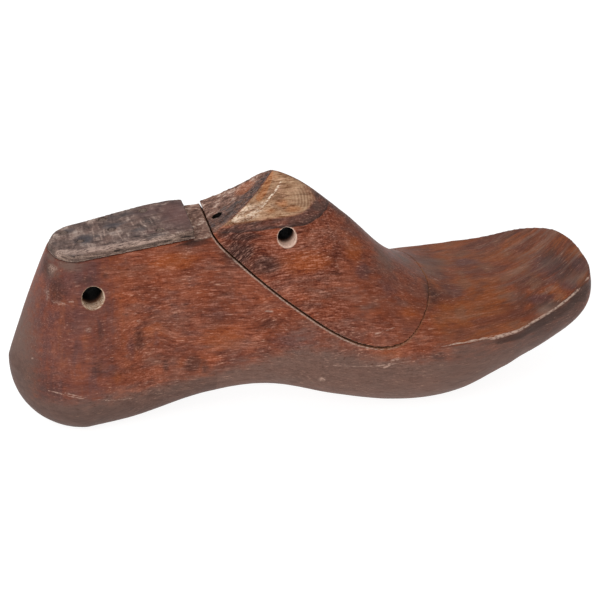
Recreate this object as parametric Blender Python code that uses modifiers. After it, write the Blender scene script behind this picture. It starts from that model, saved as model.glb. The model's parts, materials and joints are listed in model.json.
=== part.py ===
"""A scoop-block shoe last for a man's right foot.

The carved wooden body carries a leather lift tacked to its heel top. A curved saw cut runs from the cone down
and up again to the forepart, and frees the instep block. The block sits on a dowel fixed in the body and is
locked by a steel pin. Both come out straight up, the pin first.

X runs from the heel to the toe, Y to the inner side of the foot, Z up. The origin is on the flat of the
heel seat.
"""

import bmesh
import bpy
from math import atan, cos, degrees, hypot, pi, radians, sin
from mathutils import Matrix, Vector

MM = 0.001

# The last, as sections across X. Each rail is (x, value), in millimetres or degrees.
HEEL_X = 0.0  # centre of the rounded heel
TOE_X = 196.0  # centre of the rounded toe
SPINE_Y = ((0, 0), (70, 2.5), (130, 0.5), (196, 3))
BOTTOM_Z = (
    (0, -1.0),
    (22, 0.7),
    (55, 9),
    (88, 12.0),
    (115, 5.8),
    (142, 0.1),
    (158, -0.8),
    (175, 1.5),
    (196, 9.3),
)
BOTTOM_FULLNESS = ((0, 2.7), (100, 2.7), (196, 2.2))
OUTER_WIDTH = ((0, 33), (35, 27), (75, 29), (110, 37.5), (150, 44.3), (175, 46), (196, 42))
INNER_WIDTH = ((0, 29.5), (35, 29), (75, 26.5), (110, 36.2), (150, 46.6), (175, 47), (196, 47))
OUTER_RIDGE_Z = ((0, 27), (35, 28), (75, 34), (110, 33.5), (140, 37.0), (165, 38.7), (196, 41.5))
INNER_RIDGE_Z = ((0, 25), (35, 31), (75, 38), (110, 43), (140, 46.3), (165, 47.3), (196, 48))
CREST_Z = ((0, 104), (40, 108), (80, 116), (100, 109.5), (125, 89), (150, 63), (170, 51.5), (196, 49.5))
OUTER_CREST_HALF = ((0, 19), (40, 23), (80, 17), (100, 17), (125, 14), (150, 19.5), (196, 22))
INNER_CREST_HALF = ((0, 15.5), (40, 23), (80, 12), (100, 12), (125, 13.5), (150, 19.5), (196, 22))
WALL_ANGLE = ((0, 83.5), (40, 87), (80, 82), (100, 77), (125, 68), (142, 50), (155, 25), (170, 6), (196, 2))
WALL_REACH = ((0, 43), (40, 44), (80, 43), (100, 33), (125, 20), (150, 16), (196, 14))

HEEL_BACK = 33.0  # how far the heel bulges behind its centre
HEEL_BACK_Z = 31.0
HEEL_BACK_LEAN = 72.5
HEEL_BACK_REACH = 41.5
HEEL_BACK_TOP = 7.0
HEEL_BACK_FULLNESS = 2.3

# The toe in plan, as (degrees from the toe's direction, radius): the outer side is negative.
TOE_RADIUS = (
    (-90, 42),
    (-72, 37.5),
    (-54, 37.3),
    (-36, 40.1),
    (-20, 45.6),
    (-5, 47),
    (15, 49),
    (30, 52.2),
    (45, 55.2),
    (60, 53),
    (76, 49),
    (90, 47),
)
TOE_RIDGE_Z = 52.6
TOE_FULLNESS = 3.7
TOE_SPRING = 0.4  # slope of the bottom where the toe's rounding starts
TOE_BULGE = 1.3  # how far the toe's wall swells past its ridge
TOE_CREST_HALF = 36.0
TOE_REACH = 14.0
TOE_ANGLE = 4.0
TOE_INNER_RISE = 3.5
TOE_OUTER_RISE = -0.6

STATIONS = 34
TOE_STEPS = 14
HEEL_STEPS = 9
BOTTOM_STEPS = 9
WALL_STEPS = 14

# The flat top of the heel, its leather lift and the facets cut on the cone.
HEEL_TOP_Z = 85.4  # at the heel's centre
HEEL_TOP_SLOPE = 0.105
CONE_REAR_X = 58.0
CONE_PEAK_X = 91.0
CONE_PEAK_Y = 3.0
CONE_PEAK_Z = 112.6
CONE_REAR_SLOPE = 0.61
CONE_REAR_HOLLOW = 2.0
CONE_REAR_STEPS = 10
CONE_SIDE_SLOPE = 0.96
# Where the side facet rolls over towards the toe: (x past the peak, height over the facet's plane).
CONE_SIDE_ROLL = (
    (5.0, 0.0),
    (10.5, -0.3),
    (15.0, -1.3),
    (19.7, -3.3),
    (24.2, -6.0),
    (30.0, -7.5),
)
CONE_SIDE_STEPS = 10
LIFT_BACK_THICKNESS = 3.2  # at the heel's centre
LIFT_FRONT_THICKNESS = 4.5
LIFT_FRONT_X = 52.0
SEAT_GAP = 0.3  # between pieces that rest on each other

# The scoop: the saw cut in the XZ plane, from above the cone's rear to above the forepart.
SCOOP = (
    (54.0, 108.0),
    (57.3, 97.0),
    (61.5, 89.0),
    (70.5, 79.0),
    (85.0, 65.3),
    (100.0, 53.6),
    (113.0, 45.0),
    (124.0, 40.2),
    (134.0, 38.6),
    (143.0, 40.0),
    (151.5, 44.0),
    (158.0, 48.8),
    (164.0, 54.5),
    (171.0, 63.0),
)
SCOOP_STEPS = 3
SCOOP_SLOPE_STEP = 0.1  # over which the cut's direction is taken
KERF = 0.5

# The holes for the maker's hook.
HEEL_HOLE_DIAMETER = 10.0
HEEL_HOLE_X = 3.7
HEEL_HOLE_Z = 69.6
BLOCK_HOLE_DIAMETER = 8.4
BLOCK_HOLE_X = 94.0
BLOCK_HOLE_Z = 88.2

# The steel pin that locks the block.
PIN_X = 64.5
PIN_Y = -2.0
PIN_DIAMETER = 3.6
PIN_SINK = 1.9  # below the cone's rear facet
PIN_BITE = 28.9  # into the body, from the saw cut
PIN_TAPER = 5.0
PIN_TIP_DIAMETER = 1.8
PIN_TIP_BEVEL = 0.4
PIN_END_BEVEL = 0.5
PIN_CLEARANCE = 0.3
PIN_HOLE_DEPTH = 2.0  # past the tip

# The dowel that guides the block.
DOWEL_X = 124.0
DOWEL_Y = 1.0
DOWEL_DIAMETER = 9.0
DOWEL_DEPTH = 18.2  # into the body, from the saw cut
DOWEL_RISE = 17.8  # into the block
DOWEL_CLEARANCE = 0.3
DOWEL_BEVEL = 1.2
DOWEL_HOLE_DEPTH = 2.0  # past the top

# The tacks in the leather lift.
TACK_PLACES = ((1.3, -3.5), (-4.5, 8.5), (16.5, 2.0), (14.0, 14.5), (33.0, 15.0), (37.0, -9.0))
TACK_HEAD_DIAMETER = 3.4
TACK_HEAD_HEIGHT = 0.9
TACK_SHANK_DIAMETER = 1.6
TACK_LENGTH = 13.0
TACK_TAPER = 7.2
TACK_TIP_DIAMETER = 0.5
TACK_TIP_BEVEL = 0.6
TACK_RIM = 0.2
TACK_CROWN_DIAMETER = 2.6
TACK_CROWN = 0.25
TACK_CLEARANCE = 0.3
TACK_SINK = 0.4  # how far the head sits below the leather's face

BORE_SIDES = 32
TACK_SIDES = 16
FAR = 400.0  # out of reach of the last, for the cutters
OVERRUN = 20.0  # of a hole's cutter past the face that it opens


def curve_of(points):
    """A smooth curve through (x, value) points, as a function of x."""
    gaps = [b[0] - a[0] for a, b in zip(points, points[1:])]
    rises = [(b[1] - a[1]) / gap for a, b, gap in zip(points, points[1:], gaps)]
    slopes = [rises[0]]
    for i in range(1, len(gaps)):
        slopes.append((rises[i - 1] * gaps[i] + rises[i] * gaps[i - 1]) / (gaps[i - 1] + gaps[i]))
    slopes.append(rises[-1])

    def value(x):
        i = 0
        while i < len(gaps) - 1 and x > points[i + 1][0]:
            i += 1
        t = (x - points[i][0]) / gaps[i]
        start = points[i][1] + t * t * (3 - 2 * t) * (points[i + 1][1] - points[i][1])
        bend = (t**3 - 2 * t * t + t) * slopes[i] + (t**3 - t * t) * slopes[i + 1]
        return start + bend * gaps[i]

    return value


def half_section(bottom_z, width, ridge_z, fullness, crest_z, crest_half, angle, reach):
    """(distance from the middle, z) from the bottom's middle out to the ridge and up to the crest."""
    points = []
    for i in range(BOTTOM_STEPS):
        turn = i / BOTTOM_STEPS * pi / 2
        out = width * sin(turn) ** (2 / fullness)
        points.append((out, ridge_z - (ridge_z - bottom_z) * cos(turn) ** (2 / fullness)))
    lean = radians(angle)
    near = (width - reach * cos(lean), ridge_z + reach * sin(lean))
    for i in range(WALL_STEPS + 1):
        t = i / WALL_STEPS
        a, b, c, d = (1 - t) ** 3, 3 * (1 - t) ** 2 * t, 3 * (1 - t) * t * t, t**3
        out = a * width + b * near[0] + c * crest_half
        points.append((out, a * ridge_z + b * near[1] + (c + d) * crest_z))
    return points


def blank_ring():
    """The sections round the last, each a list of points from the bottom's middle to the crest."""
    spine = curve_of(SPINE_Y)
    bottom = curve_of(BOTTOM_Z)
    fullness = curve_of(BOTTOM_FULLNESS)
    crest = curve_of(CREST_Z)
    angle = curve_of(WALL_ANGLE)
    reach = curve_of(WALL_REACH)
    sides = {
        -1: (curve_of(OUTER_WIDTH), curve_of(OUTER_RIDGE_Z), curve_of(OUTER_CREST_HALF)),
        1: (curve_of(INNER_WIDTH), curve_of(INNER_RIDGE_Z), curve_of(INNER_CREST_HALF)),
    }

    def section(side, x):
        width, ridge, half = sides[side]
        return half_section(
            bottom(x), width(x), ridge(x), fullness(x), crest(x), half(x), angle(x), reach(x)
        )

    def along(side):
        places = [HEEL_X + (TOE_X - HEEL_X) * i / STATIONS for i in range(STATIONS + 1)]
        return [[(x, spine(x) + side * out, z) for out, z in section(side, x)] for x in places]

    toe_radius = curve_of(TOE_RADIUS)
    tip = half_section(
        bottom(TOE_X),
        toe_radius(0),
        TOE_RIDGE_Z,
        TOE_FULLNESS,
        crest(TOE_X),
        TOE_CREST_HALF,
        TOE_ANGLE,
        TOE_REACH,
    )

    def toe(side):
        flank = section(side, TOE_X)
        rise = TOE_INNER_RISE if side > 0 else TOE_OUTER_RISE
        low = flank[0][1]
        flank_width, flank_ridge = flank[BOTTOM_STEPS]
        tip_width, tip_ridge = tip[BOTTOM_STEPS]
        made = []
        for i in range(1, TOE_STEPS + 1):
            turn = radians(side * (90 - 90 * i / TOE_STEPS))
            radius = toe_radius(degrees(turn))
            share = cos(turn) ** 2
            lift = rise * sin(2 * turn) ** 2
            ridge = flank_ridge * (1 - share) + tip_ridge * share + lift
            row = []
            for j, ((flank_out, flank_z), (tip_out, tip_z)) in enumerate(zip(flank, tip)):
                out = flank_out / flank_width * (1 - share) + tip_out / tip_width * share
                if j < BOTTOM_STEPS:
                    flank_climb = (flank_z - low) / (flank_ridge - low)
                    climb = flank_climb * (1 - share) + (tip_z - low) / (tip_ridge - low) * share
                    spring = TOE_SPRING * radius * cos(turn)
                    z = low + spring * out + (ridge - low - spring) * climb
                    bulge = TOE_BULGE * share * 4 * climb * (1 - climb)
                else:
                    z = flank_z * (1 - share) + tip_z * share + lift * out * out
                    bulge = 0
                far = (radius + bulge) * out
                row.append((TOE_X + far * cos(turn), spine(TOE_X) + far * sin(turn), z))
            made.append(row)
        return made

    back = half_section(
        bottom(HEEL_X),
        HEEL_BACK,
        HEEL_BACK_Z,
        HEEL_BACK_FULLNESS,
        crest(HEEL_X),
        HEEL_BACK_TOP,
        HEEL_BACK_LEAN,
        HEEL_BACK_REACH,
    )

    def heel(side):
        made = []
        for i in range(1, HEEL_STEPS + 1):
            turn = i / HEEL_STEPS * pi / 2
            share = sin(turn) ** 2
            row = []
            for (flank_out, flank_z), (back_out, back_z) in zip(section(side, HEEL_X), back):
                z = flank_z * (1 - share) + back_z * share
                row.append((HEEL_X - sin(turn) * back_out, spine(HEEL_X) + side * cos(turn) * flank_out, z))
            made.append(row)
        return made

    return along(-1) + toe(-1) + toe(1)[-2::-1] + along(1)[::-1] + heel(1) + heel(-1)[-2::-1]


def mesh_object(name, points, faces, collection):
    """An object from points in millimetres, with its faces turned outwards."""
    mesh = bpy.data.meshes.new(name)
    build = bmesh.new()
    corners = [build.verts.new(Vector(point) * MM) for point in points]
    for face in faces:
        build.faces.new([corners[i] for i in face])
    bmesh.ops.remove_doubles(build, verts=build.verts, dist=0.00001)
    bmesh.ops.dissolve_degenerate(build, edges=build.edges, dist=0.00001)
    bmesh.ops.recalc_face_normals(build, faces=build.faces)
    build.to_mesh(mesh)
    build.free()
    made = bpy.data.objects.new(name, mesh)
    collection.objects.link(made)
    return made


def blank(name, collection):
    """The whole last before any cut."""
    ring = blank_ring()
    rows = len(ring[0])
    points = [point for section in ring for point in section]
    faces = []
    for i in range(len(ring)):
        here = i * rows
        there = (i + 1) % len(ring) * rows
        faces += [(here + j, there + j, there + j + 1, here + j + 1) for j in range(rows - 1)]
    return mesh_object(name, points, faces, collection)


def slab(name, outline, half_width, collection, place=None):
    """A prism along Y, from its outline of (x, z) points. place moves it as a whole."""
    count = len(outline)
    points = [(x, -half_width, z) for x, z in outline] + [(x, half_width, z) for x, z in outline]
    faces = [tuple(range(count)), tuple(range(2 * count - 1, count - 1, -1))]
    faces += [(i, (i + 1) % count, (i + 1) % count + count, i + count) for i in range(count)]
    made = mesh_object(name, points, faces, collection)
    if place:
        made.data.transform(place)
    return made


def turned(name, profile, sides, place, collection):
    """A solid of revolution about its own Z, from (radius, z) points up from the lower end."""
    mesh = bpy.data.meshes.new(name)
    edges = [(i, i + 1) for i in range(len(profile) - 1)]
    mesh.from_pydata([(radius * MM, 0, z * MM) for radius, z in profile], edges, [])
    made = bpy.data.objects.new(name, mesh)
    collection.objects.link(made)
    made.matrix_world = place
    screw = made.modifiers.new("turn", "SCREW")
    screw.axis = "Z"
    screw.steps = sides
    screw.render_steps = sides
    screw.use_normal_flip = True
    screw.use_merge_vertices = True
    screw.merge_threshold = 0.00001
    screw.use_smooth_shade = True
    return made


def rod(name, diameter, low, high, sides, place, collection):
    """A plain cylinder about its own Z."""
    radius = diameter / 2
    return turned(name, [(0, low), (radius, low), (radius, high), (0, high)], sides, place, collection)


def cut(made, *cutters):
    for cutter in cutters:
        boolean = made.modifiers.new(cutter.name, "BOOLEAN")
        boolean.operation = "DIFFERENCE"
        boolean.solver = "EXACT"
        boolean.object = cutter


def paint(made, name, colour, roughness, metallic=0.0):
    material = bpy.data.materials.new(name)
    material.use_nodes = True
    shader = material.node_tree.nodes["Principled BSDF"]
    shader.inputs["Base Color"].default_value = (*colour, 1)
    shader.inputs["Roughness"].default_value = roughness
    shader.inputs["Metallic"].default_value = metallic
    made.data.materials.append(material)


def at(x, y, z):
    return Matrix.Translation(Vector((x, y, z)) * MM)


def scoop_line(offset):
    """The saw cut as (x, z) points, moved by offset away from the body."""
    reach = [0.0]
    for a, b in zip(SCOOP, SCOOP[1:]):
        reach.append(reach[-1] + hypot(b[0] - a[0], b[1] - a[1]))
    across = curve_of([(s, point[0]) for s, point in zip(reach, SCOOP)])
    up = curve_of([(s, point[1]) for s, point in zip(reach, SCOOP)])
    places = []
    for a, b in zip(reach, reach[1:]):
        places += [a + (b - a) * i / SCOOP_STEPS for i in range(SCOOP_STEPS)]
    places.append(reach[-1])
    line = []
    for s in places:
        before = max(s - SCOOP_SLOPE_STEP, 0)
        after = min(s + SCOOP_SLOPE_STEP, reach[-1])
        dx = across(after) - across(before)
        dz = up(after) - up(before)
        line.append((across(s) - dz / hypot(dx, dz) * offset, up(s) + dx / hypot(dx, dz) * offset))
    return line


def heel_top(x):
    return HEEL_TOP_Z + HEEL_TOP_SLOPE * x


def lift_top(x):
    thicker = (LIFT_FRONT_THICKNESS - LIFT_BACK_THICKNESS) * (x - HEEL_X) / (LIFT_FRONT_X - HEEL_X)
    return heel_top(x) + SEAT_GAP + LIFT_BACK_THICKNESS + thicker


def over(line):
    """The outline of all that lies above a line, given as z from x."""
    return [(-FAR, line(-FAR)), (FAR, line(FAR)), (FAR, 2 * FAR), (-FAR, 2 * FAR)]


def cone_rear(share):
    """A point (x, z) of the cone's hollow rear facet, 0 at its foot and 1 at the peak."""
    run = CONE_PEAK_X - CONE_REAR_X
    drop = CONE_REAR_HOLLOW * 4 * share * (1 - share)
    return CONE_REAR_X + run * share, CONE_PEAK_Z - CONE_REAR_SLOPE * run * (1 - share) - drop


def cone_side():
    """The side facet's line: (x past the peak, height over its plane), from before the last to past it."""
    roll = curve_of(CONE_SIDE_ROLL)
    first = CONE_SIDE_ROLL[0][0]
    last = CONE_SIDE_ROLL[-1][0]
    places = [first + (last - first) * i / CONE_SIDE_STEPS for i in range(CONE_SIDE_STEPS + 1)]
    line = [(x, roll(x)) for x in places]
    return [(-FAR, line[0][1])] + line + [(FAR, line[-1][1])]


def move_origin(made, place):
    """Puts the object's origin at place, with its mesh where it was."""
    made.data.transform(place.inverted())
    made.matrix_world = place @ made.matrix_world


def clear_scene():
    for old in list(bpy.data.objects):
        bpy.data.objects.remove(old, do_unlink=True)


def main():
    clear_scene()
    parts = bpy.data.collections.new("shoe_last")
    cutters = bpy.data.collections.new("cutters")
    bpy.context.scene.collection.children.link(parts)
    bpy.context.scene.collection.children.link(cutters)

    body = blank("last_body", parts)
    block = blank("instep_block", parts)
    lift = blank("heel_lift", parts)

    top_of_cut = [(SCOOP[-1][0], FAR), (SCOOP[0][0], FAR)]
    above = slab("above_scoop", scoop_line(0) + top_of_cut, FAR, cutters)
    seat = scoop_line(KERF)
    under = [(-FAR, seat[0][1])] + seat + [(FAR, seat[-1][1]), (FAR, -FAR), (-FAR, -FAR)]
    below = slab("below_scoop", under, FAR, cutters)
    heel_cut = slab("above_heel", over(heel_top), FAR, cutters)
    ground = slab("below_ground", [(-FAR, 0), (FAR, 0), (FAR, -FAR), (-FAR, -FAR)], FAR, cutters)

    lift_foot = [(x, heel_top(x) + SEAT_GAP) for x in (-FAR, FAR)]
    under_lift = slab("under_lift", lift_foot + [(FAR, -FAR), (-FAR, -FAR)], FAR, cutters)
    over_lift = slab("over_lift", over(lift_top), FAR, cutters)
    front = slab(
        "before_lift",
        [(LIFT_FRONT_X, -FAR), (FAR, -FAR), (FAR, FAR), (LIFT_FRONT_X, FAR)],
        FAR,
        cutters,
    )

    hollow = [cone_rear(i / CONE_REAR_STEPS) for i in range(-2, CONE_REAR_STEPS + 3)]
    behind = [(hollow[-1][0], FAR), (-FAR, FAR), (-FAR, hollow[0][1])]
    rear_facet = slab("above_rear_facet", hollow + behind, FAR, cutters)
    tilt = Matrix.Rotation(atan(CONE_SIDE_SLOPE), 4, "X")
    side_facet = slab(
        "above_side_facet",
        cone_side() + [(FAR, FAR), (-FAR, FAR)],
        FAR,
        cutters,
        at(CONE_PEAK_X, CONE_PEAK_Y, CONE_PEAK_Z) @ tilt,
    )

    across = Matrix.Rotation(-pi / 2, 4, "X")
    heel_place = at(HEEL_HOLE_X, 0, HEEL_HOLE_Z) @ across
    heel_hole = rod("heel_hook_hole", HEEL_HOLE_DIAMETER, -FAR, FAR, BORE_SIDES, heel_place, cutters)
    block_place = at(BLOCK_HOLE_X, 0, BLOCK_HOLE_Z) @ across
    block_hole = rod("block_hook_hole", BLOCK_HOLE_DIAMETER, -FAR, FAR, BORE_SIDES, block_place, cutters)

    cut_z = curve_of(scoop_line(0))
    rear_z = curve_of([cone_rear(i / CONE_REAR_STEPS) for i in range(CONE_REAR_STEPS + 1)])
    pin_place = at(PIN_X, PIN_Y, cut_z(PIN_X) - PIN_BITE)
    pin_length = rear_z(PIN_X) - PIN_SINK - cut_z(PIN_X) + PIN_BITE
    pin_radius = PIN_DIAMETER / 2
    pin = turned(
        "block_pin",
        [
            (0, 0),
            (PIN_TIP_DIAMETER / 2, PIN_TIP_BEVEL),
            (pin_radius, PIN_TAPER),
            (pin_radius, pin_length - PIN_END_BEVEL),
            (pin_radius - PIN_END_BEVEL, pin_length),
            (0, pin_length),
        ],
        BORE_SIDES,
        pin_place,
        parts,
    )
    pin_bore = PIN_DIAMETER + 2 * PIN_CLEARANCE
    pin_bore_top = pin_length + OVERRUN
    pin_hole = rod("pin_hole", pin_bore, -PIN_HOLE_DEPTH, pin_bore_top, BORE_SIDES, pin_place, cutters)

    dowel_place = at(DOWEL_X, DOWEL_Y, cut_z(DOWEL_X) - DOWEL_DEPTH)
    dowel_length = DOWEL_DEPTH + DOWEL_RISE
    dowel_radius = DOWEL_DIAMETER / 2
    dowel = turned(
        "guide_dowel",
        [
            (0, 0),
            (dowel_radius - DOWEL_BEVEL, 0),
            (dowel_radius, DOWEL_BEVEL),
            (dowel_radius, dowel_length - DOWEL_BEVEL),
            (dowel_radius - DOWEL_BEVEL, dowel_length),
            (0, dowel_length),
        ],
        BORE_SIDES,
        dowel_place,
        parts,
    )
    dowel_hole = rod(
        "dowel_hole",
        DOWEL_DIAMETER + 2 * DOWEL_CLEARANCE,
        -DOWEL_CLEARANCE,
        dowel_length + DOWEL_HOLE_DEPTH,
        BORE_SIDES,
        dowel_place,
        cutters,
    )

    lean = Matrix.Rotation(-atan(HEEL_TOP_SLOPE), 4, "Y")
    tacks = []
    tack_holes = []
    head_holes = []
    for i, (x, y) in enumerate(TACK_PLACES):
        top = lift_top(x) - TACK_SINK
        place = at(x, y, top) @ lean
        head = TACK_HEAD_DIAMETER / 2
        shank = TACK_SHANK_DIAMETER / 2
        profile = [
            (0, -TACK_LENGTH),
            (TACK_TIP_DIAMETER / 2, TACK_TIP_BEVEL - TACK_LENGTH),
            (shank, TACK_TAPER - TACK_LENGTH),
            (shank, -TACK_HEAD_HEIGHT),
            (head, TACK_RIM - TACK_HEAD_HEIGHT),
            (TACK_CROWN_DIAMETER / 2, -TACK_CROWN),
            (0, 0),
        ]
        tacks.append(turned(f"lift_tack_{i + 1}", profile, TACK_SIDES, place, parts))
        bore = TACK_SHANK_DIAMETER + 2 * TACK_CLEARANCE
        low = -TACK_LENGTH - TACK_CLEARANCE
        tack_holes.append(rod(f"tack_hole_{i + 1}", bore, low, OVERRUN, TACK_SIDES, place, cutters))
        bore = TACK_HEAD_DIAMETER + 2 * TACK_CLEARANCE
        low = -TACK_HEAD_HEIGHT - TACK_CLEARANCE
        head_holes.append(rod(f"tack_sink_{i + 1}", bore, low, OVERRUN, TACK_SIDES, place, cutters))

    cut(body, above, heel_cut, ground, heel_hole, pin_hole, dowel_hole, *tack_holes)
    cut(block, below, rear_facet, side_facet, block_hole, pin_hole, dowel_hole)
    cut(lift, over_lift, under_lift, front, *tack_holes, *head_holes)
    move_origin(block, at(DOWEL_X, DOWEL_Y, cut_z(DOWEL_X)))

    paint(body, "stained_hardwood", (0.13, 0.045, 0.02), 0.42)
    paint(block, "stained_hardwood_block", (0.15, 0.05, 0.022), 0.42)
    paint(lift, "worn_leather", (0.06, 0.045, 0.036), 0.8)
    paint(pin, "pin_steel", (0.35, 0.33, 0.31), 0.45, 1.0)
    paint(dowel, "dowel_wood", (0.42, 0.27, 0.14), 0.6)
    for i, tack in enumerate(tacks):
        paint(tack, f"tack_iron_{i + 1}", (0.09, 0.08, 0.075), 0.55, 1.0)

    for made in (body, block, lift):
        made.data.shade_smooth()
    for cutter in cutters.objects:
        cutter.hide_render = True
        cutter.display_type = "WIRE"


main()
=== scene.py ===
"""The visual model of a scoop-block shoe last for a right foot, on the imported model's frame.

Lengths are in millimetres until they reach a mesh. X runs from the heel to the toe, Z up, and the near
side, which is the outer one, faces -Y.
"""

import json
from functools import reduce
from itertools import product
from math import atan, cos, degrees, hypot, pi, radians, sin

import bmesh
import bpy
import numpy as np
from mathutils import Matrix, Vector

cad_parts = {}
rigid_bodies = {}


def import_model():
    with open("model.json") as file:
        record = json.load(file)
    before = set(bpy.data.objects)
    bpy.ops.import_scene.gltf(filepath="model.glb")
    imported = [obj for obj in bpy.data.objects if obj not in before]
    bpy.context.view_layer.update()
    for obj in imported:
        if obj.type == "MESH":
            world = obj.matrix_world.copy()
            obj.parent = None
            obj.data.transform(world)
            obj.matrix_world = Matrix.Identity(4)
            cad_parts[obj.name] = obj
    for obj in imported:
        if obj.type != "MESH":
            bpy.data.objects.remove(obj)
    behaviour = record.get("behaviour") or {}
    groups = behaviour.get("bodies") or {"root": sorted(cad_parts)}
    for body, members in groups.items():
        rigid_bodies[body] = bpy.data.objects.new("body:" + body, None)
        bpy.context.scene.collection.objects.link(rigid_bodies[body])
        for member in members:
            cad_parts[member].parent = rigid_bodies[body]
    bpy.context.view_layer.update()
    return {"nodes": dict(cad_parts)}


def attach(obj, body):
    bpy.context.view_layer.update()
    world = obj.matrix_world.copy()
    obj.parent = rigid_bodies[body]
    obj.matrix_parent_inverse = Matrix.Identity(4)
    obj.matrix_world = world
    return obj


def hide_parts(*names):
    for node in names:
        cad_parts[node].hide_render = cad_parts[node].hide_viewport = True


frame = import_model()

MM = 0.001
# Points closer together than this become one.
WELD = 0.01 * MM
VOXEL = 0.55
LIFT_VOXEL = VOXEL * 0.7

# The last's form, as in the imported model.
HEEL_X = 0.0
TOE_X = 196.0
SPINE_Y = ((0, 0), (70, 2.5), (130, 0.5), (196, 3))
BOTTOM_Z = (
    (0, -1.0), (22, 0.7), (55, 9), (88, 12.0), (115, 5.8), (142, 0.1), (158, -0.8), (175, 1.5), (196, 9.3),
)
BOTTOM_FULLNESS = ((0, 2.7), (100, 2.7), (196, 2.2))
OUTER_WIDTH = ((0, 33), (35, 27), (75, 29), (110, 37.5), (150, 44.3), (175, 46), (196, 42))
INNER_WIDTH = ((0, 29.5), (35, 29), (75, 26.5), (110, 36.2), (150, 46.6), (175, 47), (196, 47))
OUTER_RIDGE_Z = ((0, 27), (35, 28), (75, 34), (110, 33.5), (140, 37.0), (165, 38.7), (196, 41.5))
INNER_RIDGE_Z = ((0, 25), (35, 31), (75, 38), (110, 43), (140, 46.3), (165, 47.3), (196, 48))
CREST_Z = ((0, 104), (40, 108), (80, 116), (100, 109.5), (125, 89), (150, 63), (170, 51.5), (196, 49.5))
OUTER_CREST_HALF = ((0, 19), (40, 23), (80, 17), (100, 17), (125, 14), (150, 19.5), (196, 22))
INNER_CREST_HALF = ((0, 15.5), (40, 23), (80, 12), (100, 12), (125, 13.5), (150, 19.5), (196, 22))
WALL_ANGLE = ((0, 83.5), (40, 87), (80, 82), (100, 77), (125, 68), (142, 50), (155, 25), (170, 6), (196, 2))
WALL_REACH = ((0, 43), (40, 44), (80, 43), (100, 33), (125, 20), (150, 16), (196, 14))
HEEL_BACK = 33.0
HEEL_BACK_Z = 31.0
HEEL_BACK_LEAN = 72.5
HEEL_BACK_REACH = 41.5
HEEL_BACK_TOP = 7.0
HEEL_BACK_FULLNESS = 2.3
TOE_RADIUS = (
    (-90, 42), (-72, 37.5), (-54, 37.3), (-36, 40.1), (-20, 45.6), (-5, 47), (15, 49), (30, 52.2), (45, 55.2),
    (60, 53), (76, 49), (90, 47),
)
TOE_RIDGE_Z = 52.6
TOE_FULLNESS = 3.7
TOE_SPRING = 0.4
TOE_BULGE = 1.3
TOE_CREST_HALF = 36.0
TOE_REACH = 14.0
TOE_ANGLE = 4.0
TOE_INNER_RISE = 3.5
TOE_OUTER_RISE = -0.6
HEEL_TOP_Z = 85.4
HEEL_TOP_SLOPE = 0.105
CONE_REAR_X = 58.0
CONE_PEAK = (91.0, 3.0, 112.6)
CONE_REAR_SLOPE = 0.61
CONE_REAR_HOLLOW = 2.0
CONE_SIDE_SLOPE = 0.96
CONE_SIDE_LEAN = atan(CONE_SIDE_SLOPE)
CONE_SIDE_ROLL = ((5.0, 0.0), (10.5, -0.3), (15.0, -1.3), (19.7, -3.3), (24.2, -6.0), (30.0, -7.5))
FACET_NORMAL = np.array((0, -sin(CONE_SIDE_LEAN), cos(CONE_SIDE_LEAN)))
CONE_REAR_STEPS = 20
CONE_REAR_EXTRA = 4
ROLL_LENGTH = 36
LIFT_BACK_THICKNESS = 3.2
LIFT_FRONT_THICKNESS = 4.5
LIFT_FRONT_X = 52.0
SEAT_GAP = 0.3
SCOOP = (
    (54.0, 108.0), (57.3, 97.0), (61.5, 89.0), (70.5, 79.0), (85.0, 65.3), (100.0, 53.6), (113.0, 45.0),
    (124.0, 40.2), (134.0, 38.6), (143.0, 40.0), (151.5, 44.0), (158.0, 48.8), (164.0, 54.5), (171.0, 63.0),
)
SCOOP_STEPS = 8
SCOOP_SLOPE_STEP = 0.1
KERF = 0.7
KERF_CLOSED = 0.15
KERF_CLOSES_X = (128.0, 152.0)
# Each hook hole's middle x and z, its diameter, how deep its wall is painted lit, and over how much further
# that fades into painted shade.
HEEL_HOLE = (3.7, 69.6, 10.0, 3.0, 7.0)
BLOCK_HOLE = (94.0, 88.2, 8.4, 1.5, 6.5)
# The pin goes through the block into the body. The dowel is fixed in the body and stands up into the block.
PIN_X = 64.5
PIN_Y = -2.0
PIN_DIAMETER = 3.6
PIN_BITE = 28.9
PIN_CLEARANCE = 0.3
PIN_HOLE_DEPTH = 2.0
DOWEL_X = 124.0
DOWEL_Y = 1.0
DOWEL_DIAMETER = 9.0
DOWEL_DEPTH = 18.2
DOWEL_RISE = 17.8
DOWEL_CLEARANCE = 0.3
DOWEL_HOLE_DEPTH = 2.0
TACK_PLACES = ((1.3, -3.5), (-4.5, 8.5), (16.5, 2.0), (14.0, 14.5), (33.0, 15.0), (37.0, -9.0))
TACK_HEAD_DIAMETER = 3.4
TACK_HEAD_HEIGHT = 0.9
TACK_SHANK_DIAMETER = 1.6
TACK_LENGTH = 13.0
TACK_CLEARANCE = 0.3
TACK_SINK = 0.4
# How far the tacks' cutters run on above the leather, where the pin's hole ends, and a place beyond the last.
OVERRUN = 20.0
PIN_HOLE_TOP = 130.0
FAR = 400.0
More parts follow.
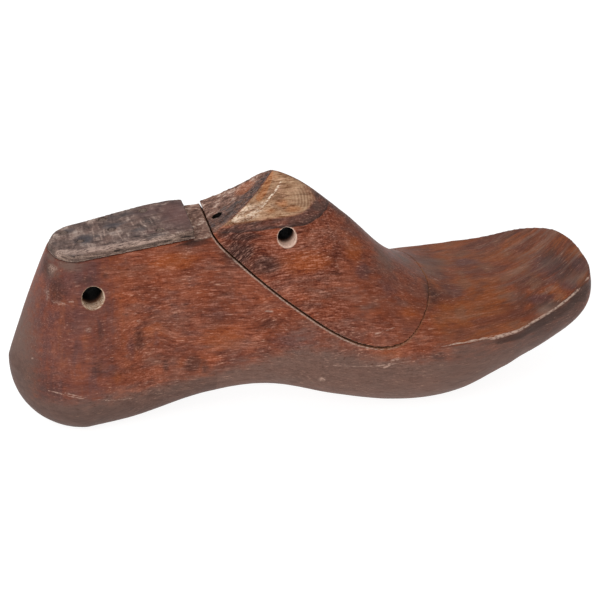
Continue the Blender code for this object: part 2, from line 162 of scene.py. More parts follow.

# What use has left on the wood, with some painted sheen and shade among it: patches as (middle x, y, z, reach
# along x, y, z, strength from 0 to 1).
# The dark patch at x 52, under the lift's front, is painted shade under the ledge.
DARK_PATCHES = (
    (6, -28, 54, 4, 8, 16, 0.6), (4, -31, 37, 8, 8, 10, 0.6), (24, -26, 47, 6, 8, 12, 0.7),
    (36, -25, 32, 3, 6, 7, 0.7), (49, -24, 32, 8, 9, 8, 1.0), (10, -22, 79, 4, 6, 3, 0.7),
    (-15, -7, 79, 6, 14, 8, 0.9), (-12, -19, 72, 10, 12, 12, 0.8), (3, -25, 78, 14, 8, 5, 0.65),
    (-20, -27, 28, 6, 10, 12, 0.5), (-7, -31, 17, 22, 14, 9, 0.5), (17, -28, 33, 24, 10, 4, 0.4),
    (83, -26, 49, 16, 10, 9, 0.6), (54, -25, 30, 4, 8, 10, 0.7), (98, -29, 50, 6, 8, 5, 0.4),
    (71, -19, 83, 17, 10, 12, 1.0), (82, -21, 77, 17, 10, 10, 0.85), (130, -21, 68, 12, 14, 9, 0.5),
    (231, 5, 52, 18, 38, 8, 0.6), (163, -12, 52, 8, 20, 8, 0.8), (160, -44, 34, 10, 6, 6, 0.6),
    (52, -17.5, 89.4, 12, 6, 3, 1.0), (105, -26, 64, 12, 8, 5, 0.4), (116, -23, 71, 8, 10, 8, 0.4),
    (219, -24, 46, 16, 6, 6, 0.6), (163, -30, 46, 6, 10, 7, 0.5), (172, 10, 50, 9, 12, 5, 0.4),
    (74, -17, 90, 15, 7, 4, 1.0), (65, -16.5, 92.5, 6, 6, 5, 1.0), (240, 0, 52, 8, 20, 6, 0.5),
)
WARM_PATCHES = (
    (-5, -31, 36, 7, 8, 11, 1.0), (-11, -29, 38, 6, 8, 8, 0.7), (42, -20, 82, 22, 8, 8, 0.9),
    (31, -25, 51, 11, 8, 8, 0.7), (13, -30, 31, 8, 8, 6, 0.7), (43, -24, 33, 5, 6, 6, 0.6),
    (63, -24, 43, 20, 8, 12, 0.8), (136, -42, 36, 14, 6, 5, 1.0), (102, -22, 77, 24, 10, 10, 0.9),
    (126, -15, 78, 9, 14, 9, 0.9), (149, -29, 50, 14, 12, 8, 0.7), (164, -29, 45, 10, 9, 6, 1.0),
    (216, 37, 51, 30, 12, 8, 0.9), (39, -22, 69, 26, 8, 10, 0.4), (188, 42, 49, 30, 14, 8, 0.8),
    (197, 10, 50, 17, 7, 6, 0.9), (180, -8, 49, 16, 10, 6, 0.4),
)
# The grey patches on the forepart, from x 170 on, are partly painted sheen.
GREY_PATCHES = (
    (141, -8, 69, 14, 20, 14, 0.6), (131, -30, 55, 14, 6, 6, 0.4), (214, 20, 51, 12, 12, 6, 0.4),
    (227, 9, 51, 13, 16, 6, 0.5), (202, -16, 47, 12, 8, 6, 0.5), (217, -26, 45, 14, 8, 8, 0.8),
    (155, 12, 58, 12, 18, 9, 0.7), (110, -34, 42, 22, 10, 8, 0.4), (174, 24, 50, 14, 14, 6, 0.5),
    (232, -10, 51, 12, 14, 6, 0.6), (29, -26, 37, 12, 10, 9, 0.35), (98, -31, 44, 18, 10, 12, 0.45),
    (170, 17, 51, 14, 14, 6, 0.6), (-13, -12, 79, 8, 12, 6, 0.8), (110, -8, 98, 6, 8, 5, 0.7),
    (-6, -18, 83.5, 14, 10, 4.5, 0.8), (-14, -8, 84, 8, 10, 4, 0.9),
)
PLUM_PATCHES = (
    (-9, -20, 75, 12, 14, 9, 1.0), (4, -24, 77, 12, 9, 6, 1.0), (-3, -27, 62, 12, 9, 9, 0.75),
    (3.5, -29, 46, 3, 8, 18, 0.8), (20, -27, 44, 4, 8, 16, 0.7), (32, -26, 46, 3.5, 8, 14, 0.6),
    (96, -31, 42, 24, 10, 13, 0.75), (129, -22, 70, 8, 10, 9, 0.9), (140, -22, 60, 12, 12, 10, 0.6),
    (188, 22, 50, 15, 11, 6, 0.8), (226, 6, 51, 22, 32, 8, 0.8), (214, -20, 47, 15, 8, 5, 0.9),
    (176, -8, 50, 12, 14, 6, 0.6), (60, -24, 58, 12, 8, 8, 0.5), (239, 2, 52, 10, 18, 6, 1.0),
    (229, -14, 50, 10, 9, 5, 0.9),
)
PALE_PATCHES = (
    (1, -29, 56, 5, 6, 4, 0.6), (-10, -22, 67, 15, 12, 3, 0.55), (-4, -23, 77, 4, 5, 2, 0.5),
    (-24, -18, 39, 1.2, 3, 1.2, 1.0), (-16, -16, 69, 5, 10, 12, 0.5), (-13, -12, 80, 9, 12, 6, 0.6),
    (24, -25, 56, 3, 5, 1.5, 0.8), (107, -35, 23, 5, 8, 4, 0.6), (131, -30, 55, 7, 6, 3, 0.4),
    (161, 24, 53, 7, 8, 5, 0.5),
)
# Fine lines that show pale, each its half width and its corners.
SCRATCHES = (
    (0.45, (-18.3, -27.4, 26.3), (-13.2, -30.2, 25.7), (-8.9, -31.7, 24.5), (-4, -32.6, 23.5)),
    (0.35, (-4, -32.6, 23.5), (2.4, -32.4, 22.2), (9.4, -30.5, 20), (19.5, -27.8, 18.6)),
    (0.5, (134, -36, 44.5), (146, -35, 49)),
    (0.5, (-11, -31, 26.2), (-6.5, -32.2, 25), (-1, -32.7, 23.8)),
    (0.6, (-11.6, -21.8, 66.4), (-5.2, -24.9, 68.8)),
    (0.9, (134.7, -41.4, 29.7), (137, -41.8, 31.2)),
    (0.9, (137.8, -42, 33.3), (141, -42.5, 34.2)),
    (0.4, (111.8, -36.9, 30.8), (122.9, -39.5, 30.4), (134.2, -41.4, 30.8), (146.5, -43, 32.4)),
    (0.6, (82.5, -24.8, 55.3), (86, -25.5, 55.3)),
    (0.5, (164.2, 3.3, 53.9), (167.9, 0.5, 52.3), (170.4, -1.3, 51.3)),
    (0.4, (160.5, 6, 56.4), (165, 6, 54), (174, -3, 50.2)),
    (0.5, (126.5, -36, 45), (131, -36.5, 47)),
    (0.5, (131, -36.5, 44.5), (140, -36, 47.5)),
    (0.4, (138, -35.5, 46), (144, -35, 47.5)),
)
# The near ridge of the forepart, where the stain is worn off and a painted highlight runs: corners with the
# worn strip's half width.
WORN_AND_LIT_RIDGE = (
    (150, -43.6, 37.4, 0.0), (162, -43.2, 38.6, 0.3), (168, -42.4, 39.4, 0.6), (175, -42, 39.6, 1.0),
    (189, -40.7, 39.9, 1.1), (194.6, -39.2, 40.2, 1.0), (199.9, -37.2, 40.7, 0.8), (209.5, -31.5, 42.2, 0.7),
    (219.5, -26.2, 44.4, 0.7), (225.8, -22.4, 46.1, 0.7), (231.7, -18.5, 48.4, 0.65),
    (239.7, -10.5, 51.2, 0.6),
)
HEEL_NICK = (84.0, -25.2, 55.3)
# On the cone's side facet: the line between the two pale cuts, the foot of the pale wood, its warm strip
# and places, the hollowed middle of the left cut, the right cut's hollow, the middle of its growth rings,
# where they show, dark marks and a small ring-shaped hole.
FACET_PARTING = (
    (94.5, -1.5, 108.5), (91.3, -4.3, 106), (87.6, -7, 103.5), (84.2, -9.8, 101), (80, -12.4, 98.8),
)
FACET_FOOT = (
    (60, 93.8), (69, 94.9), (77, 95.1), (85.6, 95.7), (95.3, 96.1), (101.6, 96.9), (106, 98.2), (112, 100.5),
)
FACET_STRIP = ((90.3, 3, 111.5), (88.9, 0, 109.3), (86, -3.8, 105.6), (83.3, -6, 103.4))
FACET_WARM = (
    (93.5, -8, 101, 6, 5, 4, 0.9), (98, -10, 99, 9, 5, 3, 0.8), (88, -11, 99, 6, 5, 2.5, 0.6),
    (92, 1, 110.5, 4, 4, 3, 0.5),
)
FACET_SLOPE = ((89, 1, 109), (85, -5, 105), (80, -9.5, 101), (73, -13, 97))
FACET_HOLLOW = (99.5, -8.6, 101.8)
FACET_RINGS = (93.5, -7, 102.8)
FACET_ARCS = (104.5, -6.5, 102)
FACET_MARKS = (
    (92.5, -6.5, 103, 5, 4, 3.5, 0.8), (89.5, -9, 101, 4, 4, 2, 0.6), (98, -3, 106, 4, 3, 3, 0.4),
    (99, -9, 100, 3, 3, 2, 0.4), (104, -4, 104.5, 5, 4, 4, 0.4),
)
RING_HOLE = (82.2, -10.7, 100.1)
# The near wall's y at heights z, for the mouths of the hook holes, and how high the greying towards the
# bottom reaches at x.
HOLE_MOUTH_Y = ((60, 80, 84, 100), (-25, -23, -17, -14))
GREY_FOOT = ((20, 60, 100, 150), (30, 35, 48, 42))
# On the cone's rear facet: the iron stain with its half widths, and a red place. On the near wall: the crease
# under the ledge behind the cone, painted dark as shade, and the foot of the dark band below the pale cuts.
REAR_STAIN = (
    (62, -7, 94, 6), (69, -5.5, 97.5, 7.5), (75, -4.5, 100.5, 7), (80, -2.5, 103, 6), (85, 0, 106, 5),
    (88.5, 2.5, 109.5, 3.5),
)
REAR_RED = (79, 7.5, 103.5)
LEDGE_CREASE = ((43, -17.8, 88.6), (50, -17.2, 89.7), (58.5, -16.4, 90.6))
BAND_FOOT = (
    (60, 92.6), (80, 91.4), (90, 92.1), (98, 92.3), (104.5, 92.5), (109, 93.5), (114, 95), (118, 97),
)
# On the leather: the crack between its plies, the slit at the back, the fibrous band along its near edge, the
# rounded front corners, and its stains, dark places, pale fibres and cracks, given as on the wood.
PLY_LINE = (
    (15, -18.4, 88.9), (26.8, -17.7, 89.9), (33.7, -17.3, 90.6), (40.6, -17.1, 91.4), (50, -16.4, 92.5),
)
SLIT = ((-8.6, -12, 86.7), (-6.4, -14.9, 87.1), (-3.4, -17.6, 87.4))
FIBRE_BAND = ((-9, -11, 87), (-2, -14.5, 88.2), (9, -16, 89.7), (26, -16.5, 91.4), (42, -16.5, 93.2))
FAR_CORNER = (52, 20, 95)
NEAR_CORNER = (52, -19, 95)
LEATHER_STAINS = (
    (3, -3, 89, 9, 9, 6, 0.8), (-2.4, 8.8, 88, 8, 7, 5, 0.6), (17.8, 5, 91, 12, 6, 6, 0.7),
    (15, -3, 91, 7, 6, 6, 0.35), (30, 1.5, 92.7, 9, 4, 5, 0.35), (28, -5, 92.5, 12, 4, 5, 0.4),
)
LEATHER_DARK = ((48, 3, 94, 15, 26, 9, 1.0), (36, 12, 93, 14, 10, 7, 0.6), (38, -9, 93, 16, 5, 7, 0.6))
LEATHER_FIBRES = (
    (0.5, (8.2, 6.6, 90), (7.4, -5, 90)),
    (0.5, (11.1, 7.5, 90.3), (10.7, -7.7, 90.3)),
    (0.5, (13, 3, 90.5), (12.4, -4, 90.5)),
    (0.5, (14.4, -6, 90.9), (17.8, 2.5, 91.2), (19.5, -12.2, 91.4)),
    (0.5, (26, 5.4, 92.2), (26.3, 1, 92.3)),
    (0.5, (30, 4.6, 92.8), (30.2, 0, 92.8)),
    (0.5, (34.4, 5, 93.4), (34.8, -0.5, 93.4)),
    (0.5, (4, -8, 89.4), (4.4, -14, 89.5)),
)
LEATHER_CRACKS = (
    (0.45, (24, -11, 92), (34, -12, 93.2), (44, -11.5, 94.5)),
    (0.45, (30, -13.6, 92.6), (40, -14.6, 93.6), (50, -13.6, 94.9)),
)

# The grain: where it swirls, where it is coarse and where it swells, each its middle and its reach, how far
# it rises with x, and how it bends with the forepart's ridge.
GRAIN_SWIRL = ((73, -19, 83), (17, 14, 13))
GRAIN_COARSE = ((136, -36, 46), (16, 8, 7))
GRAIN_SWELLS = (((86, -26, 54), (12, 14, 9)), ((30, -26, 48), (14, 14, 14)))
GRAIN_RISE = ((50, 0), (62, 0), (74, 5), (88, 8.5), (110, 8.5), (135, 6), (165, 4))
GRAIN_BEND = ((-40, 0), (180, 0), (200, 4), (215, 12), (230, 23), (245, 41))

STATIONS = 130
TOE_STEPS = 48
HEEL_STEPS = 34
BOTTOM_STEPS = 26
WALL_STEPS = 56
ROUND = 64
CLOUD_CELLS = 40
LEATHER_ROUNDING = 30
RELAX_ROUNDS = 2
CURVE_READINGS = 400


def curve_of(points):
    """A smooth curve through (x, value) points, as a function of x."""
    gaps = [b[0] - a[0] for a, b in zip(points, points[1:])]
    rises = [(b[1] - a[1]) / gap for a, b, gap in zip(points, points[1:], gaps)]
    slopes = [rises[0]]
    for i in range(1, len(gaps)):
        slopes.append((rises[i - 1] * gaps[i] + rises[i] * gaps[i - 1]) / (gaps[i - 1] + gaps[i]))
    slopes.append(rises[-1])

    def value(x):
        i = 0
        while i < len(gaps) - 1 and x > points[i + 1][0]:
            i += 1
        t = (x - points[i][0]) / gaps[i]
        start = points[i][1] + t * t * (3 - 2 * t) * (points[i + 1][1] - points[i][1])
        bend = (t**3 - 2 * t * t + t) * slopes[i] + (t**3 - t * t) * slopes[i + 1]
        return start + bend * gaps[i]

    return value


def half_section(bottom_z, width, ridge_z, fullness, crest_z, crest_half, angle, reach):
    """(distance from the middle, z) from the bottom's middle out to the ridge and up to the crest."""
    points = []
    for i in range(BOTTOM_STEPS):
        turn = i / BOTTOM_STEPS * pi / 2
        out = width * sin(turn) ** (2 / fullness)
        points.append((out, ridge_z - (ridge_z - bottom_z) * cos(turn) ** (2 / fullness)))
    lean = radians(angle)
    near = (width - reach * cos(lean), ridge_z + reach * sin(lean))
    for i in range(WALL_STEPS + 1):
        t = i / WALL_STEPS
        a, b, c, d = (1 - t) ** 3, 3 * (1 - t) ** 2 * t, 3 * (1 - t) * t * t, t**3
        out = a * width + b * near[0] + c * crest_half
        points.append((out, a * ridge_z + b * near[1] + (c + d) * crest_z))
    return points


def blank_ring():
    """The sections round the last, each a list of points from the bottom's middle to the crest."""
    spine = curve_of(SPINE_Y)
    bottom = curve_of(BOTTOM_Z)
    fullness = curve_of(BOTTOM_FULLNESS)
    crest = curve_of(CREST_Z)
    angle = curve_of(WALL_ANGLE)
    reach = curve_of(WALL_REACH)
    sides = {
        -1: (curve_of(OUTER_WIDTH), curve_of(OUTER_RIDGE_Z), curve_of(OUTER_CREST_HALF)),
        1: (curve_of(INNER_WIDTH), curve_of(INNER_RIDGE_Z), curve_of(INNER_CREST_HALF)),
    }

    def section(side, x):
        width, ridge, half = sides[side]
        return half_section(bottom(x), width(x), ridge(x), fullness(x), crest(x), half(x), angle(x), reach(x))

    def along(side):
        places = [HEEL_X + (TOE_X - HEEL_X) * i / STATIONS for i in range(STATIONS + 1)]
        return [[(x, spine(x) + side * out, z) for out, z in section(side, x)] for x in places]

    toe_radius = curve_of(TOE_RADIUS)
    tip = half_section(
        bottom(TOE_X), toe_radius(0), TOE_RIDGE_Z, TOE_FULLNESS, crest(TOE_X), TOE_CREST_HALF,
        TOE_ANGLE, TOE_REACH,
    )

    def toe(side):
        flank = section(side, TOE_X)
        rise = TOE_INNER_RISE if side > 0 else TOE_OUTER_RISE
        low = flank[0][1]
        flank_width, flank_ridge = flank[BOTTOM_STEPS]
        tip_width, tip_ridge = tip[BOTTOM_STEPS]
        made = []
        for i in range(1, TOE_STEPS + 1):
            turn = radians(side * (90 - 90 * i / TOE_STEPS))
            radius = toe_radius(degrees(turn))
            share = cos(turn) ** 2
            lift = rise * sin(2 * turn) ** 2
            ridge = flank_ridge * (1 - share) + tip_ridge * share + lift
            row = []
            for j, ((flank_out, flank_z), (tip_out, tip_z)) in enumerate(zip(flank, tip)):
                out = flank_out / flank_width * (1 - share) + tip_out / tip_width * share
                if j < BOTTOM_STEPS:
                    flank_climb = (flank_z - low) / (flank_ridge - low)
                    climb = flank_climb * (1 - share) + (tip_z - low) / (tip_ridge - low) * share
                    spring = TOE_SPRING * radius * cos(turn)
                    z = low + spring * out + (ridge - low - spring) * climb
                    bulge = TOE_BULGE * share * 4 * climb * (1 - climb)
                else:
                    z = flank_z * (1 - share) + tip_z * share + lift * out * out
                    bulge = 0
                far = (radius + bulge) * out
                row.append((TOE_X + far * cos(turn), spine(TOE_X) + far * sin(turn), z))
            made.append(row)
        return made

    back = half_section(
        bottom(HEEL_X), HEEL_BACK, HEEL_BACK_Z, HEEL_BACK_FULLNESS, crest(HEEL_X), HEEL_BACK_TOP,
        HEEL_BACK_LEAN, HEEL_BACK_REACH,
    )

    def heel(side):
        made = []
        for i in range(1, HEEL_STEPS + 1):
            turn = i / HEEL_STEPS * pi / 2
            share = sin(turn) ** 2
            row = []
            for (flank_out, flank_z), (back_out, back_z) in zip(section(side, HEEL_X), back):
                z = flank_z * (1 - share) + back_z * share
                row.append((HEEL_X - sin(turn) * back_out, spine(HEEL_X) + side * cos(turn) * flank_out, z))
            made.append(row)
        return made

    return along(-1) + toe(-1) + toe(1)[-2::-1] + along(1)[::-1] + heel(1) + heel(-1)[-2::-1]


def mesh_object(name, points, faces):
    """An object from points in millimetres, with its faces turned outwards."""
    mesh = bpy.data.meshes.new(name)
    build = bmesh.new()
    corners = [build.verts.new(Vector(point) * MM) for point in points]
    for face in faces:
        build.faces.new([corners[i] for i in face])
    bmesh.ops.remove_doubles(build, verts=build.verts, dist=WELD)
    bmesh.ops.dissolve_degenerate(build, edges=build.edges, dist=WELD)
    bmesh.ops.recalc_face_normals(build, faces=build.faces)
    build.to_mesh(mesh)
    build.free()
    made = bpy.data.objects.new(name, mesh)
    bpy.context.scene.collection.objects.link(made)
    return made


def blank(name):
    """The whole last before any cut."""
    ring = blank_ring()
    rows = len(ring[0])
    points = [point for section in ring for point in section]
    faces = []
    for i in range(len(ring)):
        here = i * rows
        there = (i + 1) % len(ring) * rows
        faces += [(here + j, there + j, there + j + 1, here + j + 1) for j in range(rows - 1)]
    return mesh_object(name, points, faces)


def cutter(near, far, place=None):
    """A prism between two like outlines of (x, y, z) points. place moves it as a whole."""
    count = len(near)
    faces = [tuple(range(count)), tuple(range(2 * count - 1, count - 1, -1))]
    faces += [(i, (i + 1) % count, (i + 1) % count + count, i + count) for i in range(count)]
    made = mesh_object("cutter", near + far, faces)
    if place:
        made.data.transform(place)
    return made


def slab(outline, place=None):
    """A cutter along Y, from its outline of (x, z) points."""
    near, far = [[(x, y, z) for x, z in outline] for y in (-FAR, FAR)]
    return cutter(near, far, place)


def rod(diameter, low, high, place):
    """A round cutter about its own Z."""
    turns = [2 * pi * i / ROUND for i in range(ROUND)]
    ring = [(cos(turn) * diameter / 2, sin(turn) * diameter / 2) for turn in turns]
    near, far = [[(x, y, z) for x, y in ring] for z in (low, high)]
    return cutter(near, far, place)


def at(x, y, z):
    return Matrix.Translation(Vector((x, y, z)) * MM)


def scoop_line(offset):
    """The saw cut as (x, z) points, moved by offset away from the body."""
    reach = [0.0]
    for a, b in zip(SCOOP, SCOOP[1:]):
        reach.append(reach[-1] + hypot(b[0] - a[0], b[1] - a[1]))
    across = curve_of([(s, point[0]) for s, point in zip(reach, SCOOP)])
    up = curve_of([(s, point[1]) for s, point in zip(reach, SCOOP)])
    places = []
    for a, b in zip(reach, reach[1:]):
        places += [a + (b - a) * i / SCOOP_STEPS for i in range(SCOOP_STEPS)]
    places.append(reach[-1])
    line = []
    for s in places:
        before = max(s - SCOOP_SLOPE_STEP, 0)
        after = min(s + SCOOP_SLOPE_STEP, reach[-1])
        dx = across(after) - across(before)
        dz = up(after) - up(before)
        line.append((across(s) - dz / hypot(dx, dz) * offset, up(s) + dx / hypot(dx, dz) * offset))
    return line


def closing_seat():
    """The block's side of the saw cut, which closes up towards the forepart."""
    line = []
    for (wide_x, wide_z), (x, z) in zip(scoop_line(KERF), scoop_line(KERF_CLOSED)):
        share = fade((x - KERF_CLOSES_X[0]) / (KERF_CLOSES_X[1] - KERF_CLOSES_X[0]))
        line.append((wide_x + (x - wide_x) * share, wide_z + (z - wide_z) * share))
    return line


def heel_top(x):
    return HEEL_TOP_Z + HEEL_TOP_SLOPE * x


def lift_top(x):
    thicker = (LIFT_FRONT_THICKNESS - LIFT_BACK_THICKNESS) * (x - HEEL_X) / (LIFT_FRONT_X - HEEL_X)
    return heel_top(x) + SEAT_GAP + LIFT_BACK_THICKNESS + thicker


def over(line):
    """The outline of all that lies above a line, given as z from x."""
    return [(-FAR, line(-FAR)), (FAR, line(FAR)), (FAR, 2 * FAR), (-FAR, 2 * FAR)]


def cone_rear(share):
    """A point (x, z) of the cone's hollow rear facet, 0 at its foot and 1 at the peak."""
    peak_x, _, peak_z = CONE_PEAK
    run = peak_x - CONE_REAR_X
    drop = CONE_REAR_HOLLOW * 4 * share * (1 - share)
    return CONE_REAR_X + run * share, peak_z - CONE_REAR_SLOPE * run * (1 - share) - drop


def shape(made, cutters, voxel):
    """Takes the cutters off a piece and remeshes it evenly."""
    for part in cutters:
        boolean = made.modifiers.new(part.name, "BOOLEAN")
        boolean.operation = "DIFFERENCE"
        boolean.solver = "EXACT"
        boolean.object = part
    remesh = made.modifiers.new("even", "REMESH")
    remesh.mode = "VOXEL"
    remesh.voxel_size = voxel * MM
    bpy.context.view_layer.update()
    evaluated = made.evaluated_get(bpy.context.evaluated_depsgraph_get())
    mesh = bpy.data.meshes.new_from_object(evaluated)
    made.modifiers.clear()
    made.data = mesh
    mesh.shade_smooth()
    return made


def vectors_of(made, key):
    """What Blender holds under the key "co" or "normal" for each point."""
    rows = np.empty(len(made.data.vertices) * 3, np.float32)
    made.data.vertices.foreach_get(key, rows)
    return rows.reshape(-1, 3).astype(float)


def points_of(made):
    return vectors_of(made, "co") / MM


def put_points(made, points):
    made.data.vertices.foreach_set("co", (points * MM).astype(np.float32).ravel())
    made.data.update()


def links_of(made):
    """The two end points of every edge."""
    edges = np.empty(len(made.data.edges) * 2, np.int32)
    made.data.edges.foreach_get("vertices", edges)
    return edges.reshape(-1, 2).T


def smoothed(values, links, rounds):
    """Each point's values drawn half way to the mean of its neighbours', rounds times."""
    a, b = links
    count = len(values)
    number = np.maximum(np.bincount(a, minlength=count) + np.bincount(b, minlength=count), 1)
    values = values.astype(float)
    for _ in range(rounds):
        mean = np.empty_like(values)
        for axis in range(values.shape[1]):
            total = np.bincount(a, values[b, axis], count) + np.bincount(b, values[a, axis], count)
            mean[:, axis] = total / number
        values = values + 0.5 * (mean - values)
    return values


def sharpness(made, rounds=4):
    """How far each point stands out of its surroundings: above 0 on an arris, below 0 in a groove."""
    points = points_of(made)
    out = points - smoothed(points, links_of(made), rounds)
    return np.sum(out * vectors_of(made, "normal"), axis=1)


def fade(share):
    """0 below 0, 1 above 1 and smooth between them."""
    share = np.clip(share, 0, 1)
    return share * share * (3 - 2 * share)


def cloud(points, size, seed):
    """Smooth noise from -1 to 1, in lumps about size millimetres across. size may differ by axis."""
    lattice = np.random.default_rng(seed).uniform(-1, 1, (CLOUD_CELLS,) * 3)
    places = points / size
    low = np.floor(places).astype(int)
    part = fade(places - low)
    total = np.zeros(len(points))
    for corner in product((0, 1), repeat=3):
        share = np.prod(np.where(corner, part, 1 - part), axis=1)
        i, j, k = ((low + corner) % CLOUD_CELLS).T
        total += share * lattice[i, j, k]
    return total


def patch(points, middle, reach):
    """1 at middle, falling to 0 at reach, which may differ by axis."""
    return fade(1 - np.linalg.norm((points - middle) / reach, axis=1))


def most(*masks):
    """The greatest of some masks at each point."""
    return reduce(np.maximum, masks)


def patches(points, marks):
    """The greatest of many patches, each its middle, its reaches and its strength."""
    return most(*[mark[6] * patch(points, mark[:3], mark[3:6]) for mark in marks])


def stroke(points, corners, half_widths):
    """1 along a line through its corners, falling to 0 at its half width, which may differ by corner."""
    corners = np.array(corners, float)
    half_widths = np.broadcast_to(half_widths, len(corners))
    total = np.zeros(len(points))
    for a, b, wide_a, wide_b in zip(corners, corners[1:], half_widths, half_widths[1:]):
        along = np.clip((points - a) @ (b - a) / ((b - a) @ (b - a)), 0, 1)
        away = np.linalg.norm(points - a - along[:, None] * (b - a), axis=1)
        total = most(total, fade(1.5 - away / most(wide_a + along * (wide_b - wide_a), 0.01)))
    return total


def strokes(points, lines):
    """The greatest of many lines, each its half width and its corners."""
    return most(*[stroke(points, corners, half_width) for half_width, *corners in lines])


def off_line(points, line):
    """Each point's distance in the XZ plane from a line of (x, z) corners."""
    least = np.full(len(points), FAR)
    flat = points[:, (0, 2)]
    for a, b in zip(np.array(line), np.array(line[1:])):
        along = np.clip((flat - a) @ (b - a) / ((b - a) @ (b - a)), 0, 1)
        least = np.minimum(least, np.linalg.norm(flat - a - along[:, None] * (b - a), axis=1))
    return least


def on_curve(corners, x):
    """The smooth curve through (x, value) corners, read for an array of x."""
    curve = curve_of(corners)
    steps = np.linspace(corners[0][0], corners[-1][0], CURVE_READINGS)
    return np.interp(x, steps, [curve(step) for step in steps])


def store(made, name, *columns):
    """Keeps three columns of numbers on the points, for the materials."""
    layer = made.data.attributes.new(name, "FLOAT_VECTOR", "POINT")
    layer.data.foreach_set("vector", np.stack(columns, 1).astype(np.float32).ravel())


# Cutters, then the wooden pieces and the leather.
top_of_cut = [(SCOOP[-1][0], FAR), (SCOOP[0][0], FAR)]
seat = closing_seat()
under = [(-FAR, seat[0][1])] + seat + [(FAR, seat[-1][1]), (FAR, -FAR), (-FAR, -FAR)]
above = slab(scoop_line(0) + top_of_cut)
below = slab(under)
heel_cut = slab(over(heel_top))
ground = slab([(-FAR, 0), (FAR, 0), (FAR, -FAR), (-FAR, -FAR)])
lift_foot = [(x, heel_top(x) + SEAT_GAP) for x in (-FAR, FAR)]
under_lift = slab(lift_foot + [(FAR, -FAR), (-FAR, -FAR)])
over_lift = slab(over(lift_top))
lift_front = slab([(LIFT_FRONT_X, -FAR), (FAR, -FAR), (FAR, FAR), (LIFT_FRONT_X, FAR)])
hollow_steps = range(-CONE_REAR_EXTRA, CONE_REAR_STEPS + CONE_REAR_EXTRA + 1)
hollow = [cone_rear(i / CONE_REAR_STEPS) for i in hollow_steps]
rear_facet = slab(hollow + [(hollow[-1][0], FAR), (-FAR, FAR), (-FAR, hollow[0][1])])
tilt = Matrix.Rotation(CONE_SIDE_LEAN, 4, "X")
roll_x = np.linspace(0, ROLL_LENGTH, ROLL_LENGTH + 1)
roll = list(zip(roll_x, on_curve(CONE_SIDE_ROLL, roll_x)))
over_roll = [(-FAR, 0)] + roll + [(FAR, roll[-1][1]), (FAR, FAR), (-FAR, FAR)]
side_facet = slab(over_roll, at(*CONE_PEAK) @ tilt)
across = Matrix.Rotation(-pi / 2, 4, "X")
heel_hole, block_hole = [
    rod(wide, -FAR, FAR, at(x, 0, z) @ across) for x, z, wide, *_ in (HEEL_HOLE, BLOCK_HOLE)
]
cut_z = curve_of(scoop_line(0))
pin_low = cut_z(PIN_X) - PIN_BITE - PIN_HOLE_DEPTH
pin_wide = PIN_DIAMETER + 2 * PIN_CLEARANCE
pin_hole = rod(pin_wide, pin_low, PIN_HOLE_TOP, at(PIN_X, PIN_Y, 0))
dowel_low = cut_z(DOWEL_X) - DOWEL_DEPTH - DOWEL_CLEARANCE
dowel_high = cut_z(DOWEL_X) + DOWEL_RISE + DOWEL_HOLE_DEPTH
dowel_wide = DOWEL_DIAMETER + 2 * DOWEL_CLEARANCE
dowel_hole = rod(dowel_wide, dowel_low, dowel_high, at(DOWEL_X, DOWEL_Y, 0))
lean = Matrix.Rotation(-atan(HEEL_TOP_SLOPE), 4, "Y")
tack_holes = []
head_holes = []
for x, y in TACK_PLACES:
    place = at(x, y, lift_top(x) - TACK_SINK) @ lean
    for holes, wide, long in (
        (tack_holes, TACK_SHANK_DIAMETER, TACK_LENGTH), (head_holes, TACK_HEAD_DIAMETER, TACK_HEAD_HEIGHT),
    ):
        holes.append(rod(wide + 2 * TACK_CLEARANCE, -long - TACK_CLEARANCE, OVERRUN, place))

body_cutters = [above, heel_cut, ground, heel_hole, pin_hole, dowel_hole, *tack_holes]
block_cutters = [below, rear_facet, side_facet, block_hole, pin_hole, dowel_hole]
lift_cutters = [over_lift, under_lift, lift_front, *tack_holes, *head_holes]
body = shape(blank("body_wood"), body_cutters, VOXEL)
block = shape(blank("block_wood"), block_cutters, VOXEL)
lift = shape(blank("lift_leather"), lift_cutters, LIFT_VOXEL)
for made in (body, block, lift):
    put_points(made, smoothed(points_of(made), links_of(made), RELAX_ROUNDS))
for made in [o for o in bpy.data.objects if o.name.startswith("cutter")]:
    bpy.data.objects.remove(made, do_unlink=True)


def above_facet(points):
    """How far each point lies above the plane of the cone's pale side facet."""
    height = (points - CONE_PEAK) @ FACET_NORMAL
    return height - on_curve(CONE_SIDE_ROLL, points[:, 0] - CONE_PEAK[0])


def above_rear(points):
    """How far each point lies above the cone's rear facet."""
    line = [cone_rear(i / CONE_REAR_STEPS) for i in range(CONE_REAR_STEPS + 1)]
    return points[:, 2] - on_curve(line, points[:, 0])


